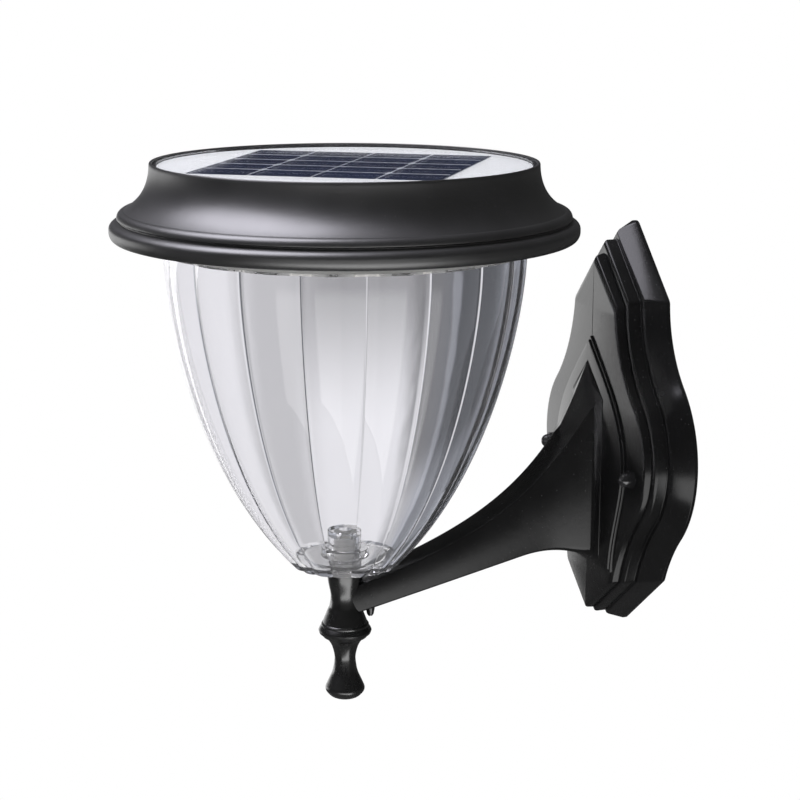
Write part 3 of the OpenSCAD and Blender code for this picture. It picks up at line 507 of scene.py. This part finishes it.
def circuit_board(name):
    material, paint = new_finish(name)
    across = paint.along("X").pulse(TRACK_PITCH_X)
    deep = paint.along("Y").pulse(TRACK_PITCH_Y)
    track = across.combine("MINIMUM", across, deep) < TRACK_HALF
    tint = paint.mix(track * 0.8, (0.004, 0.09, 0.03), (0.012, 0.2, 0.07))
    paint.output(paint.surface(Base_Color=tint, Roughness=0.3 + 0.1 * paint.noise(300),
                               Normal=paint.bump(track, 0.3, 0.00004)))
    return material


finishes["green_board"] = circuit_board("green_board")
print("green board ready")

# %% [markdown]
# ## Solar cells
#
# Each cell is a dark blue slice of silicon with hair-fine silver fingers across it. Hundreds of
# thin meshes could make the fingers, but lines this fine only tint the blue, so a repeated step in
# the shader draws them. The block of cells is turned on the panel, so the pattern is turned by the
# same angle about the lamp's axis.

# %% Silicon
CELLS_TURN = 54.6
FINGER_PITCH, FINGER_HALF = 0.0022, 0.00008


def silicon(name):
    material, paint = new_finish(name)
    turned = paint.node("ShaderNodeMapping", {"vector_type": "TEXTURE"}, {
        "Vector": paint.place(), "Location": (0, AXIS_Y * MM, 0),
        "Rotation": (0, 0, math.radians(CELLS_TURN))})
    across = paint.node("ShaderNodeSeparateXYZ", {}, {0: turned}, out="X")
    finger = across.pulse(FINGER_PITCH) < FINGER_HALF
    crystal = paint.noise(24, 2)
    tint = paint.mix(crystal.eased(0.3, 0.75), (0.004, 0.011, 0.048), (0.008, 0.02, 0.07))
    tint = paint.mix(finger * 0.15, tint, (0.35, 0.37, 0.42))
    paint.output(paint.surface(Base_Color=tint, Roughness=0.12 + crystal * 0.06,
                               Normal=paint.bump(finger, 0.2, 0.00003)))
    return material


finishes["silicon"] = silicon("silicon")
print("silicon ready")

# %% [markdown]
# ## Dressing the solids
#
# The record names a slot for every node, and the finishes above are kept under the same names, so
# one loop dresses them all. The solids that show flat facets are replaced further on.

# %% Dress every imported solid
slot_of = {part["node"]: part["material_slot"] for part in frame["record"]["subparts"]}
for name, solid in solids.items():
    solid.data.materials.clear()
    solid.data.materials.append(finishes[slot_of[name]])
print("dressed", len(solids), "solids")

# %% [markdown]
# ## Curves
#
# The finer meshes follow the same lines as the solids: arcs, cubic curves and smooth curves through
# points. Sharp corners of an outline are eased a little, because a real edge is never sharp and the
# thin highlight along it tells the eye so. A bevel modifier could round them, but rounding the
# outline before it is turned or skinned keeps every ring of points alike.

# %% Curves
def arc(cx, cy, r, start, end, steps):
    angles = [math.radians(start + (end - start) * i / steps) for i in range(steps + 1)]
    return [(cx + r * math.cos(a), cy + r * math.sin(a)) for a in angles]


def bezier(points, t):
    shares = ((1 - t) ** 3, 3 * t * (1 - t) ** 2, 3 * t * t * (1 - t), t ** 3)
    return tuple(sum(s * p[k] for s, p in zip(shares, points)) for k in range(2))


def bezier_points(points, steps):
    return [bezier(points, i / steps) for i in range(steps + 1)]


def smooth_through(points, steps):
    """A smooth curve through every point."""
    made = []
    for i in range(len(points) - 1):
        a, b, c, d = (points[min(max(i + k, 0), len(points) - 1)] for k in (-1, 0, 1, 2))
        for k in range(steps):
            t = k / steps
            made.append(tuple(0.5 * (2 * b[j] + (c[j] - a[j]) * t
                                     + (2 * a[j] - 5 * b[j] + 4 * c[j] - d[j]) * t * t
                                     + (3 * b[j] - a[j] - 3 * c[j] + d[j]) * t ** 3) for j in range(2)))
    return made + [points[-1]]


EASE_STEPS = 3


def eased(outline, radius, closed=True, least=25):
    """The same outline with its corners rounded off, where they turn by least degrees or more."""
    made = []
    last = len(outline) - 1
    for i, corner in enumerate(outline):
        corner = Vector(corner)
        back = Vector(outline[i - 1]) - corner
        on = Vector(outline[(i + 1) % (last + 1)]) - corner
        if (not closed and i in (0, last)) or math.degrees(math.pi - back.angle(on)) < least:
            made.append(tuple(corner))
            continue
        cut = min(radius * math.tan((math.pi - back.angle(on)) / 2), 0.45 * back.length, 0.45 * on.length)
        start = corner + back.normalized() * cut
        end = corner + on.normalized() * cut
        for k in range(EASE_STEPS + 1):
            t = k / EASE_STEPS
            made.append(tuple((1 - t) ** 2 * start + 2 * t * (1 - t) * corner + t * t * end))
    return made


print("curve helpers ready")

# %% [markdown]
# ## Meshes
#
# Two kinds of mesh are enough for this light. Turned pieces come from an outline spun about an
# upright axis. Cast and moulded ones come from a skin over rings that all have the same number of
# points, which gives clean long quads that shade smoothly. Edges sharper than a set angle stay crisp.

# %% Meshes
def make_piece(name, points, faces, body, slot_name, stands_for=(), sharp=32):
    """A mesh from points in millimetres, riding on a body and wearing its slot's finish."""
    mesh = bpy.data.meshes.new(name)
    mesh.from_pydata([[c * MM for c in p] for p in points], [], faces)
    work = bmesh.new()
    work.from_mesh(mesh)
    bmesh.ops.remove_doubles(work, verts=work.verts, dist=1e-7)
    bmesh.ops.recalc_face_normals(work, faces=work.faces)
    work.to_mesh(mesh)
    work.free()
    mesh.polygons.foreach_set("use_smooth", [True] * len(mesh.polygons))
    mesh.set_sharp_from_angle(angle=math.radians(sharp))
    mesh.materials.append(finishes[slot_name])
    piece = bpy.data.objects.new(name, mesh)
    bpy.context.scene.collection.objects.link(piece)
    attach(piece, body)
    if stands_for:
        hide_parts(*stands_for)
    print(name, len(mesh.vertices), "points")


def turned(outline, steps, closed=True, centre=(0, AXIS_Y)):
    """Points and faces of an outline of (radius, height) turned about an upright axis."""
    n = len(outline)
    points = []
    for s in range(steps):
        a = 2 * math.pi * s / steps
        points += [(centre[0] + r * math.cos(a), centre[1] + r * math.sin(a), z) for r, z in outline]
    faces = [(s * n + k, (s + 1) % steps * n + k, (s + 1) % steps * n + (k + 1) % n, s * n + (k + 1) % n)
             for s in range(steps) for k in range(n if closed else n - 1)]
    return points, faces


def skinned(rings, caps=True):
    """Points and faces of a skin over rings that all have the same number of points."""
    n = len(rings[0])
    points = [p for ring in rings for p in ring]
    faces = [(j * n + i, j * n + (i + 1) % n, (j + 1) * n + (i + 1) % n, (j + 1) * n + i)
             for j in range(len(rings) - 1) for i in range(n)]
    if caps:
        faces += [tuple(range(n)), tuple(range((len(rings) - 1) * n, len(rings) * n))]
    return points, faces


print("mesh helpers ready")

# %% [markdown]
# ## The cap
#
# The cap is one turned shape: a rolled lip with a crisp upper edge, a groove, a round foot bead, a
# hollow cove that sweeps up, and a narrow rim round the panel. On the real light it is die cast or
# spun. Turning an outline in 256 steps keeps its long highlights smooth, which facets would break.

# %% Turn the cap
CAP_BOTTOM = 135.6
CAP_R = 125
DECK_TOP = CAP_BOTTOM + 8.1
FOOT_TOP = CAP_BOTTOM + 15.2
RIM_R = 103.3
COVER_TOP = 174.9
RIM_TOP = COVER_TOP + 0.8
RECESS_R = RIM_R - 1.7
PANEL_SEAT = 171.45
WINDOW_R = 88
cove_mid = CAP_BOTTOM + 39.3 * 0.64
cove = [(CAP_R - 8, FOOT_TOP), (CAP_R - 14, FOOT_TOP + 3.45), (RIM_R + 0.3, cove_mid), (RIM_R, COVER_TOP)]
inner_cove = [(CAP_R - 8.8, FOOT_TOP - 2.9), (CAP_R - 16.5, FOOT_TOP + 1.85), (RIM_R - 2.3, cove_mid - 2),
              (RIM_R - 2.6, PANEL_SEAT - 3)]
lip_under = [(CAP_R - 3.2 + 3.2 * math.cos(a), CAP_BOTTOM + 4.2 + 4.2 * math.sin(a))
             for a in (math.radians(d) for d in range(-90, 1, 9))]
lip_over = [(CAP_R - 4.2 + 4.2 * math.cos(a), CAP_BOTTOM + 5.6 + 3.8 * math.sin(a))
            for a in (math.radians(d) for d in range(0, 81, 8))]
foot_bead = [(CAP_R - 7.8 + 3.6 * math.cos(a), FOOT_TOP - 4 + 4 * math.sin(a))
             for a in (math.radians(d) for d in range(0, 81, 8))]
cap_outline = (lip_under + lip_over + [(CAP_R - 5.5, FOOT_TOP - 5.6), (CAP_R - 5.6, FOOT_TOP - 4.6)]
               + foot_bead + bezier_points(cove, 36)
               + [(RIM_R - 0.3, RIM_TOP), (RECESS_R, RIM_TOP), (RECESS_R, PANEL_SEAT),
                  (WINDOW_R, PANEL_SEAT), (WINDOW_R, PANEL_SEAT - 3)]
               + bezier_points(inner_cove, 14)[::-1]
               + [(CAP_R - 8, FOOT_TOP - 4.8), (CAP_R - 5, DECK_TOP + 0.1), (CAP_R - 5, CAP_BOTTOM)])
make_piece("cap", *turned(eased(cap_outline, 0.35), 256), "solar_head", "satin_black_cap", ["cap_shell"])

# %% [markdown]
# Four round bosses inside the cap take the screws of the deck. They don't show from outside, but
# the cap isn't whole without them. Each is a short tube, turned about its own axis, and one loop
# sets all four on the screws' circle.

# %% Screw bosses inside the cap
SCREW_RING_R, SCREW_HOLE_R = 112.875, 1.45
BOSS_R, BOSS_TOP = 4, DECK_TOP + 5.3
for k in range(4):
    a = math.radians(45 + 90 * k)
    boss_centre = (SCREW_RING_R * math.cos(a), AXIS_Y + SCREW_RING_R * math.sin(a))
    boss = eased([(SCREW_HOLE_R, DECK_TOP), (BOSS_R, DECK_TOP),
                  (BOSS_R, BOSS_TOP), (SCREW_HOLE_R, BOSS_TOP)], 0.3)
    make_piece(f"cap_boss_{k + 1}", *turned(boss, 32, centre=boss_centre), "solar_head", "satin_black_cap")

# %% [markdown]
# ## The finial and the stem
#
# The finial is turned and painted, and closes the stem from below. It starts with two thin beads,
# swells into a collar, draws in to a thin neck and ends in a drop. A smooth curve through a few
# measured points gives the neck, because its swell follows no plain arc.

# %% Turn the finial
JOINT_Z = -79.9
STEM_TOP = -46.9
COLLAR_R = 14.8
drop = 44 / 45
beads = [(COLLAR_R - 2.2, 0), (COLLAR_R - 1.5, -1), (COLLAR_R - 1.7, -1.8), (COLLAR_R - 0.5, -3.4),
         (COLLAR_R, -4.6), (COLLAR_R - 0.6, -6.2), (COLLAR_R - 2.1, -7.3), (COLLAR_R - 2.6, -8.2),
         (COLLAR_R - 3.6, -8.7)]
neck = [(COLLAR_R - 3.6, -8.7), (9.3, -10.6 * drop), (7.3, -14.2 * drop), (6, -19.5 * drop), (6, -23.5 * drop),
        (7.1, -29.5 * drop), (9.6, -35.5 * drop), (11, -39.4 * drop), (9.7, -42.2 * drop), (6.4, -44.6 * drop),
        (0, -44)]
finial_line = [(0, 0)] + beads + smooth_through(neck, 8)[1:]
finial_line = [(max(r, 0), JOINT_Z + z) for r, z in eased(finial_line, 0.35, closed=False)]
make_piece("turned_finial", *turned(finial_line, 96, closed=False), "mount", "gloss_black_turned", ["finial"])

# %% [markdown]
# The stem stands on the finial and carries the shade. It is one casting with the arm on the real
# light, and is turned here as a piece of its own, so that the beam can run into its side.

# %% Turn the stem
stem_line = smooth_through([(10, STEM_TOP), (9.6, STEM_TOP - 8), (8, STEM_TOP - 17), (8.6, STEM_TOP - 23),
                            (9.9, STEM_TOP - 26.4), (COLLAR_R - 2.3, JOINT_Z)], 10)
ROD_HOLE_R = 3.15
stem_outline = eased([(ROD_HOLE_R, STEM_TOP)] + stem_line + [(ROD_HOLE_R, JOINT_Z)], 0.35)
make_piece("arm_stem", *turned(stem_outline, 96), "mount", "gloss_black_turned")

# %% [markdown]
# ## The arm
#
# The arm is a casting: a leaf-shaped pad on the wall plate, and a beam that sweeps forward and down
# and gets slimmer. Near the pad the beam widens, its lower edge becomes round, and a small fillet
# leads it into the pad. Sweeping one section along a curve couldn't change its shape on the way.
# So the section is drawn at many places, closer together near the pad, and skinned, which gives one
# smooth surface from pad to stem.

# %% Skin the beam
RIDGE_Y = -26.3
FACE_FALL = 2 / 60
REACH = 175
LEAF_T = 2.4
BEAM_START = RIDGE_Y - 0.5
FILLET = 4.6
FLARE_L = 45
beam_top = [(BEAM_START, 42), (BEAM_START - 33.3, -15.3), (AXIS_Y + 84, -35.4), (AXIS_Y - 1, -59)]


def flare(y):
    """How much the beam widens: 1 at the pad and 0 from FLARE_L in front of it."""
    return max(0, (y - BEAM_START + FLARE_L) / FLARE_L) ** 2


def fillet(y):
    """How much a quarter-round fillet adds where the beam runs into the pad."""
    near = min(max((y - RIDGE_Y + LEAF_T + FILLET) / FILLET, 0), 1)
    return FILLET * (1 - math.sqrt(1 - near * near))


def beam_ring(y, top):
    back = 1 - (y - AXIS_Y) / (REACH + RIDGE_Y)
    half = 7.8 + 2.2 * (1 - back * back) + 4.5 * flare(y) ** 2 + fillet(y)
    low = -72.3 + 0.2325 * (y - AXIS_Y - 10) - 16.5 * flare(y) - 0.2 * fillet(y)
    low_r = 1.2 + 6 * flare(y)
    side = ([(0, top + 21.5 * flare(y) + 0.05)] + arc(half - 0.8, top - 0.8, 0.8, 80, 0, 5)
            + arc(half - low_r, low + low_r, low_r, 0, -90, 10))
    return [(x, y, z) for x, z in side + [(-x, z) for x, z in side[:0:-1]]]


near_pad = [0, 0.012, 0.016, 0.02, 0.025, 0.03, 0.036, 0.043, 0.051, 0.06, 0.072, 0.085]
beam_rings = [beam_ring(*bezier(beam_top, t)) for t in near_pad + [i / 40 for i in range(4, 41)]]
make_piece("arm_beam", *skinned(beam_rings), "mount", "satin_black_casting", ["arm"], sharp=40)

# %% [markdown]
# The pad has two thin steps with the same leaf outline. Its face falls away on both sides of a
# middle ridge, as the plate's face does. A flat face with many corners would be cut into triangles
# across the ridge, so each half is closed by strips that are laid out on its own slope.

# %% The leaf pad
def mirrored_outline(half):
    """A half outline from the top to the bottom point, closed by its mirror image."""
    return half + [(-x, z) for x, z in half[-2:0:-1]]


def sloped_face(points, faces, half, depth, groove=0):
    """Closes the last ring by strips out to both sides of the middle line, on the falling face.

    A fine groove can run along the middle line.
    """
    first, last = len(points) - 2 * len(half) + 2, len(half) - 1
    columns = [[first + i for i in range(last + 1)]]
    for side, deeper in ((1, 0), (0, groove), (-1, 0)):
        columns.append([first] + [len(points) + i for i in range(last - 1)] + [first + last])
        points += [(side * min(0.3, x / 2), depth + deeper, z) for x, z in half[1:-1]]
    columns.append([first] + [first + 2 * last - i for i in range(1, last + 1)])
    for one, other in zip(columns, columns[1:]):
        for i in range(last):
            corners = tuple(dict.fromkeys((one[i], one[i + 1], other[i + 1], other[i])))
            if len(corners) > 2:
                faces.append(corners)
    return points, faces


def on_face(outline, share, depth):
    return [(x * share, RIDGE_Y - depth + FACE_FALL * abs(x * share), z * share) for x, z in outline]


LEAF_HALF, LEAF_TOP, LEAF_BELLY, LEAF_FOOT = 42, 72, 2, -59
LEAF_FACE = 0.96
leaf_upper = [(0, LEAF_TOP), (LEAF_HALF * 0.52, LEAF_TOP * 0.67),
              (LEAF_HALF, LEAF_TOP * 0.42), (LEAF_HALF, LEAF_BELLY)]
leaf_lower = [(LEAF_HALF, LEAF_BELLY), (LEAF_HALF, -16),
              (LEAF_HALF * 0.74, -34), (LEAF_HALF * 0.7, LEAF_FOOT)]
leaf_half = bezier_points(leaf_upper, 24) + bezier_points(leaf_lower, 14)[1:] + [(0, LEAF_FOOT)]
leaf = mirrored_outline(leaf_half)
leaf_rings = [on_face(leaf, share, depth) for share, depth in
              [(1, -0.8), (1, LEAF_T / 2 - 0.35), (0.997, LEAF_T / 2 - 0.08), (0.992, LEAF_T / 2),
               (0.972, LEAF_T / 2), (0.97, LEAF_T - 0.35), (0.966, LEAF_T - 0.08), (LEAF_FACE, LEAF_T)]]
leaf_points, leaf_faces = skinned(leaf_rings, caps=False)
leaf_faces.append(tuple(range(len(leaf))))
inner_half = [(x * LEAF_FACE, z * LEAF_FACE) for x, z in leaf_half]
make_piece("arm_pad", *sloped_face(leaf_points, leaf_faces, inner_half, RIDGE_Y - LEAF_T),
           "mount", "satin_black_casting")

# %% [markdown]
# ## The wall plate
#
# The plate is a shallow shell with an open back. Its outline is made of arcs: a wide belly between
# two hollow curves, and a slanted point above and below. The same outline, drawn in step by step,
# makes the slanted side, two ledges and the raised boss, so one skin goes from the pocket round the
# back edge and up to the front. The slants of the point below draw in by half as much as the sides,
# and those of the point above by less near the back edge than at the boss. A fine groove marks the
# middle ridge.

# %% The plate's outline at any inset
PLATE_TOP, PLATE_BOTTOM, LOW_SHARE = 138.5, -99, 0.5
BELLY_HALF, BELLY_R, BELLY_Z = 78, 62.6, 7.4
NECK_X, NECK_R = 41.2 + 69, 69
FOOT_X, FOOT_R = 40.5 + 89, 89
TOP_FALL, BOTTOM_RISE = 1.03, 0.81
belly_x = BELLY_HALF - BELLY_R
neck_z = BELLY_Z + math.sqrt((BELLY_R + NECK_R) ** 2 - (NECK_X - belly_x) ** 2)
foot_z = BELLY_Z - math.sqrt((BELLY_R + FOOT_R) ** 2 - (FOOT_X - belly_x) ** 2)


def slant_meets(cx, cz, r, z0, slope):
    q, k = z0 - cz, 1 + slope * slope
    b = cx - slope * q
    return (b - math.sqrt(b * b - k * (cx * cx + q * q - r * r))) / k


def slant_point(z, side, inset):
    slope = TOP_FALL if side < 0 else BOTTOM_RISE
    r = max(5 - inset, 0.4)
    centre = z + side * r * math.sqrt(1 + slope * slope)
    return arc(0, centre, r, -side * 90, -side * (90 - math.degrees(math.atan(slope))), 6)


CORNER_CUT = 1.2


def rounded_corner(before, corner, after):
    corner, back, on = Vector(corner), Vector(before) - Vector(corner), Vector(after) - Vector(corner)
    start = corner + back.normalized() * min(CORNER_CUT, back.length * 0.4)
    end = corner + on.normalized() * min(CORNER_CUT, on.length * 0.4)
    return [tuple((1 - t) ** 2 * start + 2 * t * (1 - t) * corner + t * t * end) for t in (0, 0.33, 0.67, 1)]


def plate_half(inset, share=LOW_SHARE, top_share=1):
    top = PLATE_TOP - top_share * inset * math.sqrt(1 + TOP_FALL ** 2)
    bottom = PLATE_BOTTOM + share * inset * math.sqrt(1 + BOTTOM_RISE ** 2)
    neck_a = math.degrees(math.atan2(neck_z - BELLY_Z, NECK_X - belly_x))
    foot_a = math.degrees(math.atan2(foot_z - BELLY_Z, FOOT_X - belly_x))
    shoulder = slant_meets(NECK_X, neck_z, NECK_R + inset, top, -TOP_FALL)
    kink = slant_meets(FOOT_X, foot_z, FOOT_R + inset, bottom, BOTTOM_RISE)
    shoulder_a = 180 + math.degrees(math.asin((neck_z - top + TOP_FALL * shoulder) / (NECK_R + inset)))
    kink_a = 180 - math.degrees(math.asin((bottom + BOTTOM_RISE * kink - foot_z) / (FOOT_R + inset)))
    upper = slant_point(top, -1, inset)
    hollow = arc(NECK_X, neck_z, NECK_R + inset, shoulder_a, 180 + neck_a, 20)
    belly = arc(belly_x, BELLY_Z, BELLY_R - inset, neck_a * 0.96, foot_a * 0.96, 40)
    foot = arc(FOOT_X, foot_z, FOOT_R + inset, 180 + foot_a, kink_a, 14)
    lower = slant_point(bottom, 1, inset)[::-1]
    return (upper + rounded_corner(upper[-1], hollow[0], hollow[1]) + hollow[1:] + belly
            + foot[:-1] + rounded_corner(foot[-2], foot[-1], lower[0]) + lower)


print("outline points:", len(mirrored_outline(plate_half(0))))

# %% [markdown]
# The plate's side view is one line of insets and depths: up the slanted side, over two ledges with
# rounded edges, and back down the pocket behind. Every point of that line becomes one ring of the
# outline. Pushing faces of a flat plate out, step by step, would make the same form, but its rounded
# edges couldn't be set so exactly.

# %% Skin the plate
BASE_T, MIDDLE_T, BOSS_T = 12.5, 8, 3.8
PLATE_WALL, BASE_BEVEL, LEDGE, EDGE_R = 3.4, 8.5, 2.6, 2.3
middle_y, step_y, boss_y = -BASE_T, -BASE_T - MIDDLE_T, -BASE_T - MIDDLE_T - BOSS_T
middle_in = BASE_BEVEL + LEDGE
boss_in = middle_in + 1.6 + LEDGE
front = [(0, 0), (0, -2.2), (BASE_BEVEL - 1.6, middle_y + 1.4), (BASE_BEVEL - 0.4, middle_y + 0.3),
         (BASE_BEVEL, middle_y), (middle_in, middle_y), (middle_in, step_y + EDGE_R)]
front += arc(middle_in + EDGE_R, step_y + EDGE_R, EDGE_R, 195, 270, 5) + [(boss_in, step_y)]
pocket = [(PLATE_WALL, 0), (PLATE_WALL, -1.2), (BASE_BEVEL + PLATE_WALL - 0.8, middle_y + PLATE_WALL - 0.4),
          (middle_in + PLATE_WALL - 0.4, middle_y + PLATE_WALL - 1),
          (middle_in + PLATE_WALL + 1.2, step_y + PLATE_WALL - 0.4),
          (boss_in + PLATE_WALL - 0.4, step_y + PLATE_WALL - 1),
          (boss_in + PLATE_WALL + 0.6, boss_y + PLATE_WALL)]
steps = eased(pocket[::-1] + front, 0.6, closed=False, least=12)
pocket_end = max(range(len(steps)), key=lambda i: steps[i][1] - steps[i][0] * 0.01)
face_in = boss_in + 2.8


def share_near_top(inset):
    """How much of an inset the point above draws in by."""
    return 0.62 + 0.38 * (inset / face_in) ** 2


plate_rings = []
for i, (inset, y) in enumerate(steps):
    if i < pocket_end - 1:
        half = plate_half(inset, (1 + LOW_SHARE) / 2)
    else:
        half = plate_half(inset, LOW_SHARE, share_near_top(inset))
    plate_rings.append([(x, y, z) for x, z in mirrored_outline(half)])
for inset, gap in arc(face_in, EDGE_R, EDGE_R, 180, 270, 6):
    half = plate_half(inset, LOW_SHARE, share_near_top(inset))
    plate_rings.append([(x, RIDGE_Y + gap + FACE_FALL * abs(x), z) for x, z in mirrored_outline(half)])
plate_points, plate_faces = skinned(plate_rings, caps=False)
plate_faces.append(tuple(range(len(plate_rings[0]))))
make_piece("plate", *sloped_face(plate_points, plate_faces, plate_half(face_in), RIDGE_Y, groove=0.5),
           "mount", "satin_black_casting", ["wall_plate"], sharp=40)

# %% [markdown]
# ## The fluted shade
#
# The shade is a moulded bowl of clear acrylic. Eighteen shallow flutes meet in sharp creases. The
# inside follows them with rounded creases, as the core of a mould does, so only the creases bend
# the view behind them. A solidify modifier would keep the inside sharp, and light would show it. So
# the bowl is skinned as one closed surface: up the outside, over the neck, and down the inside to
# the stepped boss that holds the metal insert.

# %% Skin the shade
SHADE_BOTTOM = -45.7
SHADE_H = 176.5
SHADE_R, SHADE_NECK_OUT, SHADE_NECK_IN = 97.8, 95, 92
SHADE_NECK_TOP = SHADE_H + 8.4
SHADE_WALL, SHADE_FLOOR = 3, 4
FLUTES, FLUTE_DEPTH, FLUTE_TURN = 18, 2.2, 6.7
CREASE_FROM, CREASE_BEND = 0.94, 15.7
bowl = [(29, 0), (SHADE_R * 0.818, SHADE_H * 0.287), (SHADE_R * 1.003, SHADE_H * 0.805), (SHADE_R, SHADE_H)]
ACROSS_FLUTE = [-1, -0.98, -0.96, -0.94, -0.8, -0.6, -0.4, -0.2,
                0, 0.2, 0.4, 0.6, 0.8, 0.94, 0.96, 0.98]
AROUND = FLUTES * len(ACROSS_FLUTE)


def fluted_ring(r, z, share=1.0, soft=False):
    """A ring of shallow arcs between creases, sharp or rounded; share 0 makes it a plain circle."""
    made = []
    for flute in range(FLUTES):
        for u in ACROSS_FLUTE:
            past = max(abs(u) - CREASE_FROM, 0)
            dip = u * u
            if soft and past:
                dip = CREASE_FROM ** 2 + 2 * CREASE_FROM * past - CREASE_BEND * past * past
            radius = r - share * FLUTE_DEPTH * (0.45 + 0.55 * r / SHADE_R) * dip
            a = math.radians(360 / FLUTES * (flute + (u + 1) / 2) + FLUTE_TURN)
            made.append((radius * math.cos(a), AXIS_Y + radius * math.sin(a), SHADE_BOTTOM + z))
    return made


outside = [fluted_ring(*bezier(bowl, i / 56)) for i in range(57)]
shade_top_rings = [fluted_ring(r, z, 0) for r, z in
                   ((SHADE_NECK_OUT, SHADE_H), (SHADE_NECK_OUT, SHADE_NECK_TOP - 0.3),
                    (SHADE_NECK_OUT - 0.3, SHADE_NECK_TOP), (SHADE_NECK_IN + 0.3, SHADE_NECK_TOP),
                    (SHADE_NECK_IN, SHADE_NECK_TOP - 0.3), (SHADE_NECK_IN, SHADE_H + 0.3))]
inside = []
for i in range(53):
    r, z = bezier(bowl, 0.98 - i * 0.945 / 52)
    inside.append(fluted_ring(r - SHADE_WALL, max(z, SHADE_FLOOR), soft=True))
boss_rings = [fluted_ring(r, z, 0) for r, z in
              ((24.2, SHADE_FLOOR), (23.9, 5.6), (14.2, 5.6), (14, 5.8), (14, 9.7), (13.7, 10), (9.9, 10),
               (9.6, 10.3), (9.6, 19.6), (9.2, 20), (3.3, 20), (3.2, 16.05))]
hollow_rings = [fluted_ring(r, z, 0) for r, z in ((6.25, 16.05), (6.25, 2.95), (3.15, 2.95), (3.15, 0))]
shade_rings = outside + shade_top_rings + inside + boss_rings + hollow_rings
shade_points, shade_faces = skinned(shade_rings, caps=False)
last = (len(shade_rings) - 1) * AROUND
shade_faces += [(last + i, last + (i + 1) % AROUND, (i + 1) % AROUND, i) for i in range(AROUND)]
make_piece("fluted_shade", shade_points, shade_faces, "mount", "clear_acrylic", ["shade"], sharp=14)

# %% [markdown]
# ## Silver between the cells
#
# Thin tinned strips run in the gaps between the columns of cells. The middle one is plain. The
# other two have a small flat bead of solder at every cross ribbon, and these beads catch the light.
# Lines painted on the cells would stay flat when the light moves, so each is a thin domed mesh.

# %% Links between the columns
CELLS_L, CELLS_D, CELL_GAP = 133, 125.6, 1.2
PITCH = (CELLS_L - 3 * CELL_GAP) / 4 + CELL_GAP
CELLS_TOP = COVER_TOP - 0.9


def on_panel(u, v, z):
    a = math.radians(CELLS_TURN)
    return (u * math.cos(a) - v * math.sin(a), AXIS_Y + u * math.sin(a) + v * math.cos(a), z)


def flat_link(name, u, v0, v1, half_width, low, high):
    """A flat strip with rounded ends and a softly domed top, lying along a column's gap."""
    outline = (arc(u, v1 - half_width, half_width, 0, 180, 8)
               + arc(u, v0 + half_width, half_width, 180, 360, 8))
    middle_v = (v0 + v1) / 2
    rings = [[on_panel(u + (x - u) * s, middle_v + (v - middle_v) * s, z) for x, v in outline]
             for s, z in ((1, low), (1, low + (high - low) * 0.6),
                          (0.9, high - (high - low) * 0.1), (0.75, high))]
    make_piece(name, *skinned(rings), "solar_head", "silver_ribbon")


for k in (1, 2, 3):
    u = -CELLS_L / 2 + k * PITCH - CELL_GAP / 2
    flat_link(f"column_link_{k}", u, -CELLS_D / 2 + 1, CELLS_D / 2 - 1, 0.3 if k == 2 else 0.45,
              CELLS_TOP - 0.3, CELLS_TOP - 0.02)
    for line in range(1, 5) if k != 2 else ():
        v = -CELLS_D / 2 + CELLS_D * line / 5
        flat_link(f"solder_bead_{k}_{line}", u, v - 4.5, v + 4.5, 1.3, CELLS_TOP + 0.01, CELLS_TOP + 0.09)
print("panel dressed")
